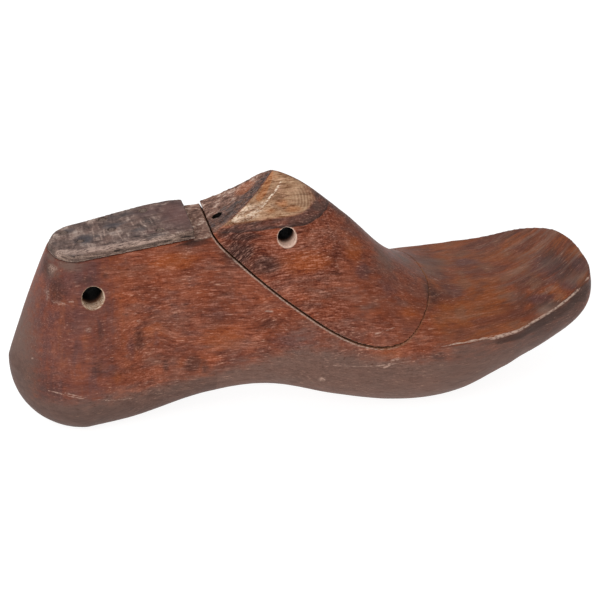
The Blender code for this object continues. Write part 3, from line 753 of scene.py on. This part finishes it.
def weather_wood(made, hole, seat):
    """Gives a wooden piece its hand-worked, worn surface, and keeps the masks that its material reads."""
    points = points_of(made)
    normals = vectors_of(made, "normal")
    x, y, z = points.T
    near = y < 0
    keen = sharpness(made)

    # The sawn face and the insides of the holes: painted light near the hook hole's mouth with a painted
    # highlight on its rim, and painted shade deeper in and in the pin and dowel holes.
    sawn = fade(2 - off_line(points, seat) / 0.3)
    hole_x, hole_z, hole_wide, lit_depth, lit_fades = hole
    hole_away = np.hypot(x - hole_x, z - hole_z) - hole_wide / 2
    bore = fade((0.5 - hole_away) / 0.4)
    lit_reach = fade(1 - (y - np.interp(z, *HOLE_MOUTH_Y) - lit_depth) / lit_fades)
    rim_highlight = fade(1 - abs(hole_away - 0.3) / 0.7) * near
    pin_away = np.hypot(x - PIN_X, y - PIN_Y)
    dowel_away = np.hypot(x - DOWEL_X, y - DOWEL_Y)
    recess_shade = most(
        fade((PIN_DIAMETER / 2 + 0.7 - pin_away) / 0.4) * (z > 40),
        fade((DOWEL_DIAMETER / 2 + 0.7 - dowel_away) / 0.4) * (abs(z - 45) < 30),
    )
    inside = most(bore, recess_shade)

    # The worn ridge of the forepart, with painted shade below it, and a painted highlight along the ridge and
    # the arris of the cut.
    ridge_line = np.array(WORN_AND_LIT_RIDGE)
    ridge = stroke(points, ridge_line[:, :3], ridge_line[:, 3])
    ridge_highlight = stroke(points, ridge_line[:, :3], 0.6 * ridge_line[:, 3])
    shade_width = np.linspace(1, 3, len(ridge_line))
    below_ridge = ridge_line[:, :3] + (0, 0.3, -0.7)
    below_ridge[:, 2] -= shade_width
    shaded = stroke(points, below_ridge, shade_width) * (0.85 + 0.3 * cloud(points, 5, 15))
    shaded *= fade((x - 168) / 30)
    arris = fade((keen - 0.05) / 0.05) * sawn * fade((152 - x) / 10) * (made is body) * near
    arris *= fade(0.85 + 0.6 * cloud(points, 3, 13))
    arris = most(arris, 0.7 * ridge_highlight * fade(0.7 + 0.9 * cloud(points, 2.4, 14)))

    # Stains and worn places all over, with painted highlights, sheen and shade among them.
    scratched = strokes(points, SCRATCHES)
    pale = most(patches(points, PALE_PATCHES), 0.65 * scratched, ridge)
    warm = patches(points, WARM_PATCHES)
    plum = most(patches(points, PLUM_PATCHES), 0.6 * fade((24 - x) / 18) * near)
    # Greyer on down-facing places, towards the bottom, at the heel's back and on the forepart's near wall:
    # partly dust and partly painted sheen from the pale floor and surroundings.
    under = fade((-normals[:, 2] - 0.1) / 0.6)
    low = fade((np.interp(x, *GREY_FOOT) - z) / 18)
    heel = fade((-x - 14) / 18)
    flank = fade((x - 145) / 25) * fade((-normals[:, 1] - 0.4) / 0.4)
    greying = most(under, low, 0.9 * heel, flank * (0.6 + 0.25 * fade((38 - z) / 16)))
    grey = most(patches(points, GREY_PATCHES), 0.95 * greying)
    # Dark stains, with painted shade in the holes and creases, below the worn ridge, on the forepart's near
    # wall, towards the bottom and at the heel's low back.
    dark = most(
        patches(points, DARK_PATCHES), recess_shade, shaded, (0.4 + 0.25 * fade((x - 190) / 30)) * flank,
        low * np.where(x < 60, 0.6, 0.35), 0.5 * fade((-x - 2) / 16) * fade((52 - z) / 24),
    )
    upright = fade((28 - x) / 24) * fade((-normals[:, 1] - 0.1) / 0.4)
    fore = fade((x - 156) / 12) * fade((normals[:, 2] - 0.5) / 0.35)
    toe = fore * fade((x - 190) / 30)
    instep = fade((x - 112) / 14) * fade((normals[:, 2] - 0.15) / 0.3) * (made is block)
    swirl = patch(points, *GRAIN_SWIRL) * (made is block)
    coarse = 0.5 * (made is block) + 1.1 * swirl + 0.4 * patch(points, *GRAIN_COARSE)
    coarse -= 0.6 * grey + 0.4 * fore + 0.75 * instep + 0.3 * flank + 0.45 * fade((24 - x) / 16)

    offset = 0.07 * cloud(points, 17, 1) + 0.04 * cloud(points, 6, 2) + 0.025 * cloud(points, 1.7, 3)
    offset -= 0.25 * ridge * (1 + cloud(points, 2.2, 4)) + 0.08 * scratched
    offset -= 0.6 * patch(points, HEEL_NICK, (2.6, 3, 1.2))
    arcs = stain = raw = np.zeros(len(points))
    if made is body:
        rear = fade((z - heel_top(x) + 0.9) / 0.6) * fade(x - LIFT_FRONT_X + 1)
        offset -= rear * (0.25 + 0.2 * cloud(points, 2.5, 8))
        # Painted shade in the crease under the ledge.
        recess_shade = most(recess_shade, 0.6 * stroke(points, LEDGE_CREASE, (0.5, 0.8, 0.8)))
    if made is block:
        # The rough rear facet, with the raised rim of the pin's hole, which carries a painted highlight.
        side = fade(1.8 - abs(above_facet(points)) / 0.3)
        rear = fade(1.8 - abs(above_rear(points)) / 0.5) * (1 - side)
        near_rear = fade(2.2 - abs(above_rear(points)) / 1.2)
        stain_line = np.array(REAR_STAIN)
        stain = rear * stroke(points, stain_line[:, :3], stain_line[:, 3])
        lit_pin_rim = rear * fade(1 - abs(pin_away - PIN_DIAMETER / 2 - 1) / 0.9) * fade(0.3 + cloud(points, 1.5, 11))
        offset += rear * (0.3 * cloud(points, 4.5, 5) + 0.2 * cloud(points, 1.5, 6) - 0.2) + 0.3 * lit_pin_rim

        # The pale cuts, with a painted highlight low on their slope.
        flat = most(fade((normals @ FACET_NORMAL - 0.86) / 0.06), fade((x - 100) / 5))
        raw_end = 110 - 0.4 * abs(z - 102) + 1.2 * cloud(points, 3, 10)
        raw_foot = on_curve(FACET_FOOT, x) + 0.3 * cloud(points, 4, 12)
        over_crest = fade((normals[:, 2] - 0.3) / 0.2) * fade((3 - y) / 2) * fade((x - 92) / 3)
        raw = most(side * flat, over_crest) * fade((raw_end + 3 - x) / 8) * fade((z - raw_foot) / 1.4)
        parting = side * stroke(points, FACET_PARTING, 0.6)
        slope = side * stroke(points, FACET_SLOPE, 5)
        arcs = patch(points, FACET_ARCS, (9, 10, 10))
        ring_hole = side * patch(points, RING_HOLE, (1.3, 1.3, 1.3))
        offset += 0.35 * parting - 0.35 * slope - 1.1 * side * patch(points, FACET_HOLLOW, (15, 11, 10))
        offset -= 0.9 * ring_hole
        lit_slope = 0.55 * slope * raw * fade((105 - z) / 4)
        pale = most(pale, 0.9 * parting, lit_slope, lit_pin_rim)
        facet_warm = most(patches(points, FACET_WARM), stroke(points, FACET_STRIP, 1.5))
        warm = most(warm * (1 - raw), rear * patch(points, REAR_RED, (14, 10, 9)), raw * facet_warm)

        # The dark band below them, partly dirt and partly painted shade on the rounded shoulder, with painted
        # shade in the crease at its foot, and the dark crest in front.
        band_foot = on_curve(BAND_FOOT, x)
        band = fade((z - band_foot + 0.4 * cloud(points, 3, 7)) / 0.7) * fade((x - 60) / 4)
        band *= (1 - raw) * (1 - near_rear) * near
        crease = band * fade(1.4 - (z - band_foot) / 0.7) * fade((118 - x) / 4)
        recess_shade = most(recess_shade, 0.75 * crease)
        grey = most(grey, 0.4 * band)
        band *= 0.55 + 0.4 * fade(1 - (z - band_foot) / 2.4)
        crest = fade((x - 96) / 8) * fade((normals[:, 2] - 0.55) / 0.25) * fade((138 - x) / 12) * (1 - raw)
        # Inside the small ring-shaped hole the dark is painted shade.
        dark = most(dark * (1 - raw), side * patches(points, FACET_MARKS), band, ring_hole, 0.7 * crest)
        plum = most(plum, band)
        coarse += raw * (0.35 - 1.1 * arcs - coarse) - 0.7 * band
    offset *= (1 - inside) * (1 - sawn)
    points += normals * offset[:, None]
    points[:, 2] = np.maximum(points[:, 2], 0)
    put_points(made, points)

    rise = on_curve(GRAIN_RISE, x) * (made is block) + 1.5 * cloud(points, 28, 9)
    rise += sum(3 * patch(points, *swell) for swell in GRAIN_SWELLS)
    rise += 0.55 * (x - 72) * swirl
    lit = bore * lit_reach
    store(made, "grain", x, y - on_curve(GRAIN_BEND, x), z - rise)
    store(made, "tint", dark, warm, grey)
    # Pale worn places with painted highlights, bare wood with the painted light in the hook holes, and the
    # iron stain.
    store(made, "wear_and_highlight", most(pale, 0.6 * rim_highlight, lit * (0.7 if made is block else 0.65)), most(lit, raw), stain)
    store(made, "face", arcs, rear, sawn * (1 - fade((keen - 0.02) / 0.08)))
    # The forepart's top, the painted highlight on the cut's arris and the ridge, and painted shade in holes,
    # creases and below the ridge.
    store(made, "zone", fore, arris, most(recess_shade, 0.35 * shaded, bore * (1 - lit_reach)))
    store(made, "cast", coarse, plum, upright)
    store(made, "spot", toe, lit * (made is block), instep)


def weather_leather(made):
    """Gives the lift its waves, frayed edge, ply line and slit, and keeps the masks of its material."""
    points = points_of(made)
    normals = vectors_of(made, "normal")
    x, y, z = points.T
    depth = lift_top(x) - z
    thick = lift_top(x) - heel_top(x) - SEAT_GAP
    foot = fade((thick - depth) / 0.8)
    frayed = fade((sharpness(made, 6) - 0.03) / 0.12)
    round_edge = smoothed(points, links_of(made), LEATHER_ROUNDING)
    points += (round_edge - points) * foot[:, None]
    top = fade((normals[:, 2] - 0.5) / 0.4)
    edge = fade((0.7 - abs(normals[:, 2])) / 0.4)
    ply = stroke(points, PLY_LINE, 0.4) * fade(0.6 + 1.2 * cloud(points, 4, 26))
    slit = stroke(points, SLIT, 0.7)
    cracks = strokes(points, LEATHER_CRACKS)
    tack_away = [np.hypot(x - tack_x, y - tack_y) for tack_x, tack_y in TACK_PLACES]
    hole = fade((TACK_HEAD_DIAMETER / 2 + 0.9 - np.min(tack_away, axis=0)) / 0.5)
    offset = top * (0.25 * cloud(points, 11, 21) + 0.12 * cloud(points, 3.5, 22) - 0.35)
    offset += edge * (0.2 * cloud(points, (7, 7, 0.9), 23) + 0.1 * cloud(points, (2, 2, 0.6), 24) - 0.25)
    offset -= 0.5 * frayed * (1.1 + cloud(points, 3, 25)) + 0.6 * ply + 0.9 * slit + 0.35 * cracks
    points += normals * (offset * foot * (1 - hole))[:, None]
    drop = 0.5 * patch(points, FAR_CORNER, (9, 13, 12)) + 1.0 * patch(points, NEAR_CORNER, (5, 6, 9))
    points[:, 2] -= drop * foot * (depth < thick - 0.5)
    put_points(made, points)
    fibres = strokes(points, LEATHER_FIBRES)
    pale = most(0.8 * stroke(points, FIBRE_BAND, (2.4, 2.4, 2.2, 1.6, 0.8)), 0.6 * frayed, 0.6 * fibres)
    store(made, "hide", edge, pale, patches(points, LEATHER_STAINS))
    # The ply line is a dark joint; in the slit and the cracks the near black is painted shade.
    store(made, "split", most(ply, slit, 0.7 * cracks), hole, patches(points, LEATHER_DARK))


weather_wood(body, HEEL_HOLE, scoop_line(0))
weather_wood(block, BLOCK_HOLE, seat)
weather_leather(lift)


def linear(red, green, blue):
    """Linear colour from 0 to 255 screen values."""
    made = []
    for value in (red, green, blue):
        value /= 255
        made.append(value / 12.92 if value <= 0.04045 else ((value + 0.055) / 1.055) ** 2.4)
    return (*made, 1)


class Value:
    """A node's output in a look. Adding, multiplying and spanning it makes new nodes."""

    def __init__(self, look, socket):
        self.look = look
        self.socket = socket

    def __add__(self, other):
        return self.look.node("Math", (self, other), operation="ADD")

    def __sub__(self, number):
        return self + -number

    def __mul__(self, other):
        return self.look.node("Math", (self, other), operation="MULTIPLY")

    def span(self, low, high, to_low=0.0, to_high=1.0):
        """The value read from low to high, smoothly, as to_low to to_high."""
        inputs = (self, low, high, to_low, to_high)
        return self.look.node("MapRange", inputs, interpolation_type="SMOOTHSTEP")


class Look:
    """One node material, built by calls that return Values."""

    def __init__(self, name, **fixed):
        self.material = bpy.data.materials.new(name)
        self.material.use_nodes = True
        self.tree = self.material.node_tree
        self.shader = self.tree.nodes["Principled BSDF"]
        for socket, value in fixed.items():
            self.shader.inputs[socket.replace("_", " ")].default_value = value

    def put(self, value, socket):
        """Links a Value to a node's input, or sets the input to a plain value."""
        if isinstance(value, Value):
            self.tree.links.new(value.socket, socket)
        else:
            socket.default_value = value

    def node(self, kind, inputs=(), output=0, **settings):
        """A node with its settings, and with inputs as a dict by socket or as a list in order."""
        made = self.tree.nodes.new("ShaderNode" + kind)
        for key, value in settings.items():
            setattr(made, key, value)
        for key, value in inputs.items() if isinstance(inputs, dict) else enumerate(inputs):
            self.put(value, made.inputs[key])
        return Value(self, made.outputs[output])

    def places(self, name=None):
        """Object coordinates in millimetres, or the stored ones of that name, which are in millimetres."""
        if name:
            return self.node("Attribute", attribute_name=name, output="Vector")
        own = self.node("TexCoord", output="Object")
        return self.node("VectorMath", (own, (1000, 1000, 1000)), operation="MULTIPLY")

    def parts(self, name):
        """The three numbers that are stored under a name."""
        first = self.node("SeparateXYZ", (self.places(name),))
        return [Value(self, socket) for socket in first.socket.node.outputs]

    def noise(self, places, size, detail=2.0, rough=0.5, warp=0.0):
        """Noise from 0 to 1 in lumps of size millimetres along x, y and z."""
        shrunk = self.node("VectorMath", (places, tuple(1 / part for part in size)), operation="MULTIPLY")
        inputs = {"Vector": shrunk, "Scale": 1.0, "Detail": detail, "Roughness": rough, "Distortion": warp}
        return self.node("TexNoise", inputs)

    def ramp(self, value, *stops):
        """Screen colours at places from 0 to 1."""
        made = self.node("ValToRGB", (value,))
        points = made.socket.node.color_ramp.elements
        while len(points) < len(stops):
            points.new(0.5)
        for point, (place, colour) in zip(points, stops):
            point.position = place
            point.color = linear(*colour)
        return made

    def blend(self, share, a, b, kind="MIX"):
        """Colour a turned into b by share. A colour may be three screen values."""
        a, b = [linear(*colour) if isinstance(colour, tuple) else colour for colour in (a, b)]
        return self.node("Mix", {0: share, 6: a, 7: b}, 2, data_type="RGBA", blend_type=kind)

    def paint(self, colour, *layers):
        """The colour under layers, each a share and a tint."""
        for share, tint in layers:
            colour = self.blend(share, colour, tint)
        return colour

    def bump(self, height, depth):
        """Relief from a height of 0 to 1, depth millimetres deep, over what was there before."""
        made = self.node("Bump", {"Strength": 1, "Distance": depth * MM, "Height": height})
        normal = self.shader.inputs["Normal"]
        if normal.links:
            self.put(Value(self, normal.links[0].from_socket), made.socket.node.inputs["Normal"])
        self.put(made, normal)

    def finish(self, colour, roughness):
        self.put(colour, self.shader.inputs["Base Color"])
        self.put(roughness, self.shader.inputs["Roughness"])
        return self.material


def stained_hardwood():
    """Old red-brown wood with a hand-rubbed finish, worn and grey at its edges, bare where it is cut; the
    grey is partly painted sheen, and highlights and shade are painted in.
    """
    look = Look("stained_hardwood", Specular_IOR_Level=0.14)
    own = look.places()
    grain = look.places("grain")
    dark, warm, grey = look.parts("tint")
    pale, bare, stain = look.parts("wear_and_highlight")
    arcs, rear, sawn = look.parts("face")
    # arris carries a painted highlight, and deep carries painted shade.
    fore, arris, deep = look.parts("zone")
    coarse, plum, upright = look.parts("cast")
    toe, lit, instep = look.parts("spot")

    bands = look.noise(grain, (11, 13, 30), 3, 0.6)
    lumps = look.noise(grain, (16, 12, 9), 4, 0.65)
    clouds = look.noise(grain, (14, 8, 6), 4, 0.62)
    streaks = look.noise(grain, (12, 1.6, 1.4), 3, 0.6)
    lines = look.noise(grain, (5, 0.6, 0.55), 3, 0.65)
    grit = look.noise(grain, (0.8, 0.6, 0.6), 2)
    specks = look.noise(grain, (1.6, 0.6, 0.5), 2)
    ragged = look.noise(grain, (7, 3.4, 2.4), 3, 0.6)
    sweeps = look.noise(grain, (36, 4.5, 6), 3, 0.5)
    broad = look.noise(grain, (22, 14, 10), 2, 0.5)
    patchy = look.noise(grain, (12, 9, 8), 2, 0.5)
    uprights = look.noise(own, (7, 7, 45), 3, 0.6)
    blots = look.noise(own, (2.4, 2.4, 2.4), 3, 0.65)
    mottled = look.noise(own, (6, 5, 5), 3, 0.6)

    def edged(mask, low=0.35, high=0.75):
        """A painted mask with its edge broken up by the grain."""
        return (mask + ragged * 0.7 - 0.35).span(low, high)

    # The stained surface: slow changes of colour, then what is painted on.
    tone = bands * 0.7 + lumps * 0.8 + streaks * 0.5 - 0.5
    hue = look.noise(grain, (30, 22, 14), 3).span(0.35, 0.65)
    greying = look.noise(grain, (18, 8, 7), 4, 0.65).span(0.46, 0.68)
    colour = look.paint(
        look.ramp(tone, (0.3, (92, 45, 31)), (0.5, (116, 60, 41)), (0.7, (139, 77, 54))),
        (hue * 0.3, (130, 61, 28)),
        (clouds.span(0.52, 0.7) * 0.4, (144, 68, 32)),
        (clouds.span(0.48, 0.3) * 0.5, (90, 58, 52)),
        (edged(warm, 0.2, 0.8) * (fore * 0.3 + 0.55), (150, 74, 28)),
        (fore * broad.span(0.49, 0.6) * 0.65, (150, 80, 34)),
        (fore * broad.span(0.49, 0.38) * 0.7, (78, 48, 48)),
        (fore * patchy.span(0.52, 0.66) * 0.5, (122, 92, 72)),
        (fore * patchy.span(0.47, 0.34) * 0.55, (84, 44, 34)),
        (instep * patchy.span(0.45, 0.62) * 0.35, (104, 66, 56)),
        (greying * 0.25, (136, 102, 88)),
        (fore * 0.34, (118, 60, 26)),
        (upright * uprights.span(0.5, 0.62) * 0.6, (92, 62, 58)),
        (upright * uprights.span(0.47, 0.36) * 0.5, (144, 78, 42)),
        (edged(plum, 0.2, 0.8) * (fore * 0.15 + 0.65), (90, 56, 54)),
        # The grey is dust and painted sheen; the dark further down is stains and painted shade.
        (edged(grey, 0.05, 0.8) * 0.84, (106, 84, 75)),
        ((fore * 0.12 + toe * 0.3) * sweeps.span(0.5, 0.66), (134, 106, 92)),
        ((fore * 0.2 + toe * 0.2) * sweeps.span(0.48, 0.34), (64, 40, 34)),
        (edged(dark, 0.15, 0.85) * (coarse * 0.09 + 0.68), (56, 37, 33)),
    )

    # The pale cut on the cone, with its growth rings.
    from_rings = look.node("VectorMath", (own, FACET_RINGS), 1, operation="DISTANCE")
    wave = look.node("Math", (from_rings * 4.2 + ragged * 4.0,), operation="SINE")
    raw_tone = streaks * 0.7 + lumps * 0.5 + ragged * 0.9 - 0.55
    raw_stops = (0.2, (112, 84, 62)), (0.42, (148, 113, 86)), (0.6, (172, 137, 107)), (0.85, (212, 180, 150))
    raw = look.paint(
        look.ramp(raw_tone, *raw_stops),
        (edged(warm, 0.15, 0.85) * 0.62, (172, 108, 62)),
        (arcs * wave.span(0.2, 0.9) * 0.3, (204, 178, 154)),
        (arcs * wave.span(-0.3, -0.95) * 0.45, (104, 80, 66)),
        (edged(dark, 0.15, 0.85) * 0.65, (104, 70, 50)),
        # Pale worn places, with painted highlights on the parting line, the lower slope and the pin's rim.
        (edged(pale) * specks.span(0.38, 0.56) * 0.95, (236, 216, 194)),
    )

    # The rough rear of the cone, with its iron stain.
    rough_tone = blots * 0.9 + specks * 0.5 + mottled * 0.9 - 0.65
    rough_stops = (0.2, (66, 48, 44)), (0.38, (110, 84, 74)), (0.55, (150, 118, 104)), (0.74, (222, 198, 182))
    blotted = stain * 0.9 + blots * 4.2 + mottled * 3.2 - 3.85
    colour = look.paint(
        colour,
        (bare * 0.95, raw),
        (rear * 0.92, look.ramp(rough_tone, *rough_stops)),
        (rear * edged(warm) * 0.55, (168, 98, 62)),
        (stain.span(0.0, 0.4) * blotted.span(0.1, 1.1) * 0.85, (50, 45, 50)),
    )

    # The fine grain, which is light and dark but hardly changes the hue.
    fine = (lines * 0.55 + grit * 0.25 + streaks * 0.2 - 0.5) * (coarse * 0.8 + 1.0)
    colour = look.blend(fine.span(0.0, 0.15), colour, (108, 80, 70), "ADD")
    colour = look.blend(fine.span(0.0, -0.15), colour, (189, 150, 126), "MULTIPLY")
    thick = look.noise(grain, (13, 9, 8), 2).span(0.45, 0.62)
    flecks = lines.span(0.6, 0.72) * (thick + coarse * 0.5)
    pores = look.noise(grain, (4.5, 0.6, 0.55), 1).span(0.36, 0.26)
    saw_marks = look.noise(own, (0.5, 30, 0.5), 1)
    colour = look.paint(
        colour,
        (flecks * 0.5, (206, 160, 134)),
        (pores * 0.4, (58, 30, 20)),
        # Pale worn places with painted highlights, painted light in the block's hook hole, a painted
        # highlight on the cut's arris and the ridge, the sawn face, and painted shade in holes, creases and
        # below the ridge.
        (edged(pale) * specks.span(0.35, 0.6) * (bare * -0.8 + 0.8), (182, 150, 134)),
        (lit * streaks.span(0.3, 0.6, 0.5, 0.85), (228, 196, 180)),
        (arris * specks.span(0.34, 0.56, 0.35, 0.9), (202, 178, 162)),
        (sawn * 0.9, look.ramp(saw_marks, (0.3, (104, 66, 46)), (0.7, (150, 106, 76)))),
        (deep, (16, 12, 10)),
    )

    roughness = lumps * 0.25 + 0.36 + grey * 0.15 + pale * 0.2 + bare * 0.3 + rear * 0.25 + sawn * 0.3
    look.bump(lines, 0.08)
    look.bump(streaks, 0.12)
    look.bump(specks * (rear + 0.15), 0.25)
    look.bump(blots * rear, 0.6)
    look.bump(saw_marks * sawn, 0.15)
    return look.finish(colour, roughness)


def worn_leather():
    """Sole leather: dark and stained on top, pale and fibrous at its edges."""
    look = Look("worn_leather", Specular_IOR_Level=0.3)
    places = look.places()
    edge, pale, stain = look.parts("hide")
    split, hole, dark = look.parts("split")
    lumps = look.noise(places, (8, 10, 8), 4, 0.6, 1.2)
    mottle = look.noise(places, (2.6, 4, 2.6), 4, 0.65, 0.8)
    fibres = look.noise(places, (11, 1.1, 3), 4, 0.65, 0.5)
    tufts = look.noise(places, (0.9, 6, 3), 3, 0.6)
    plies = look.noise(places, (9, 9, 0.55), 3, 0.6)
    grit = look.noise(places, (0.6, 0.6, 0.6), 2)
    tangle = look.noise(places, (4, 1.1, 1.1), 4, 0.65, 1.5)
    cast = look.noise(places, (9, 8, 8), 3)
    tone = lumps * 1.2 + mottle * 0.8 + fibres * (dark + 0.6) + tufts * (dark * -0.5 + 0.5)
    tone = tone + dark * -0.42 - 1.05
    top_stops = (0.15, (60, 46, 43)), (0.38, (94, 74, 68)), (0.58, (126, 104, 95)), (0.85, (186, 164, 152))
    edge_tone = plies * 1.2 + grit * 0.7 - 0.45
    edge_stops = (0.2, (50, 37, 32)), (0.5, (98, 77, 67)), (0.8, (164, 138, 122))
    colour = look.paint(
        look.ramp(tone, *top_stops),
        (cast.span(0.5, 0.7) * 0.35, (132, 98, 86)),
        (cast.span(0.48, 0.32) * 0.4, (88, 82, 82)),
        (dark * 0.7, (112, 74, 70)),
        (edge, look.ramp(edge_tone, *edge_stops)),
        (pale.span(0.1, 0.9) * tangle.span(0.4, 0.56) * 0.85, (192, 164, 150)),
        ((stain + mottle * 0.8 - 0.4).span(0.2, 0.7) * 0.75, (64, 62, 68)),
        # Near black along the ply line, a dark joint, and in the slit and cracks as painted shade.
        (split * 0.9, (30, 22, 20)),
        (hole * 0.2, (72, 58, 52)),
    )
    look.bump(fibres, 0.15)
    look.bump(mottle, 0.35)
    look.bump(plies * edge, 0.4)
    look.bump(grit, 0.12)
    return look.finish(colour, mottle * 0.35 + 0.55)


def dowel_wood():
    """Plain pale wood with fine lengthwise grain and rubbed dark rings."""
    look = Look("dowel_wood", Specular_IOR_Level=0.35)
    places = look.places()
    grain = look.noise(places, (0.7, 0.7, 12), 3, 0.6)
    rubbed = look.noise(places, (6, 6, 3), 3)
    colour = look.ramp(grain, (0.3, (138, 100, 66)), (0.55, (176, 136, 94)), (0.75, (196, 160, 118)))
    colour = look.blend(rubbed.span(0.45, 0.7) * 0.5, colour, (104, 72, 50))
    look.bump(grain, 0.1)
    return look.finish(colour, rubbed * 0.25 + 0.5)


def metal(name, bright, dull, rust, share):
    """Worn steel or iron, with rust over share of it."""
    look = Look(name)
    places = look.places()
    worn = look.noise(places, (1.6, 1.6, 5), 4, 0.6)
    pits = look.noise(places, (0.5, 0.5, 0.5), 3)
    rusty = (worn * 0.7 + pits * 0.3).span(0.62 - share / 2, 0.7 - share / 2)
    colour = look.blend(rusty, look.blend(pits, dull, bright), look.ramp(pits, *rust))
    look.put(rusty.span(0.2, 0.8, 1.0, 0.1), look.shader.inputs["Metallic"])
    look.bump(pits, 0.08)
    look.bump(worn, 0.12)
    return look.finish(colour, rusty * 0.45 + 0.32 + pits * 0.15)


def pale_floor():
    """Plain pale paper."""
    look = Look("floor", Specular_IOR_Level=0.1, Emission_Color=(1, 1, 1, 1), Emission_Strength=0.9)
    mottle = look.noise(look.places(), (60, 60, 60), 3)
    colour = look.ramp(mottle, (0.3, (138, 138, 138)), (0.7, (144, 144, 144)))
    return look.finish(colour, mottle * 0.1 + 0.85)


def dress(made, material):
    """Gives an object this one material."""
    made.data.materials.clear()
    made.data.materials.append(material)


wood = stained_hardwood()
for made, node, body_name, material, slot in (
    (body, "last_body", "last", wood, "stained_hardwood"),
    (block, "instep_block", "block", wood, "stained_hardwood"),
    (lift, "heel_lift", "last", worn_leather(), "worn_leather"),
):
    dress(made, material)
    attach(made, body_name)
    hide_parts(node)

rust = ((0.3, (52, 36, 30)), (0.6, (92, 64, 50)))
grime = ((0.3, (78, 62, 56)), (0.6, (122, 102, 92)))
dress(frame["nodes"]["block_pin"], metal("pin_steel", (150, 146, 142), (96, 90, 86), rust, 0.3))
dress(frame["nodes"]["guide_dowel"], dowel_wood())
iron = metal("tack_iron", (92, 84, 80), (64, 57, 54), grime, 0.9)
for name, node in frame["nodes"].items():
    if name.startswith("lift_tack"):
        dress(node, iron)


# Floor, light and camera, in metres.
FLOOR_HALF = 6
WORLD_STRENGTH = 0.55
floor_mesh = bpy.data.meshes.new("floor")
corners = [(x * FLOOR_HALF, y * FLOOR_HALF, 0) for x, y in ((-1, -1), (1, -1), (1, 1), (-1, 1))]
floor_mesh.from_pydata(corners, [], [(0, 1, 2, 3)])
floor = bpy.data.objects.new("floor", floor_mesh)
bpy.context.scene.collection.objects.link(floor)
floor_mesh.materials.append(pale_floor())

scene = bpy.context.scene
scene.view_settings.view_transform = "Standard"
world = bpy.data.worlds.new("studio")
world.use_nodes = True
background = world.node_tree.nodes["Background"]
background.inputs["Color"].default_value = (1, 1, 1, 1)
background.inputs["Strength"].default_value = WORLD_STRENGTH
scene.world = world


def softbox(name, place, aim, size, power):
    """A soft light at place that shines at aim."""
    light = bpy.data.lights.new(name, "AREA")
    light.shape = "RECTANGLE"
    light.size, light.size_y = size
    light.energy = power
    made = bpy.data.objects.new(name, light)
    made.location = place
    made.rotation_euler = (Vector(aim) - Vector(place)).to_track_quat("-Z", "Y").to_euler()
    scene.collection.objects.link(made)


softbox("top_light", place=(-0.1, 0.1, 1.3), aim=(0.1, 0, 0), size=(1.2, 1.2), power=3)
softbox("front_light", place=(-0.8, -1.3, 0.9), aim=(0.1, 0, 0.05), size=(0.9, 0.9), power=12.5)

TARGET = Vector((0.105, 0, 0.05))
AZIMUTH = radians(-11.367)
ELEVATION = radians(25.612)
DISTANCE = 1.431
CLIP_END = 50
# The photo's width, its focal length and the shift of its middle, in pixels.
PHOTO_PIXELS = 600
FOCAL_PIXELS = 3075.2
SHIFT_PIXELS = (-3.07, -5.27)
SENSOR_MM = 36
camera_data = bpy.data.cameras.new("photo")
camera_data.sensor_width = SENSOR_MM
camera_data.lens = SENSOR_MM * FOCAL_PIXELS / PHOTO_PIXELS
camera_data.shift_x = SHIFT_PIXELS[0] / PHOTO_PIXELS
camera_data.shift_y = SHIFT_PIXELS[1] / PHOTO_PIXELS
camera_data.clip_end = CLIP_END
camera = bpy.data.objects.new("photo", camera_data)
back = Vector((sin(AZIMUTH) * cos(ELEVATION), -cos(AZIMUTH) * cos(ELEVATION), sin(ELEVATION)))
camera.location = TARGET + back * DISTANCE
camera.rotation_euler = (-back).to_track_quat("-Z", "Y").to_euler()
scene.collection.objects.link(camera)
scene.camera = camera

bpy.context.view_layer.update()
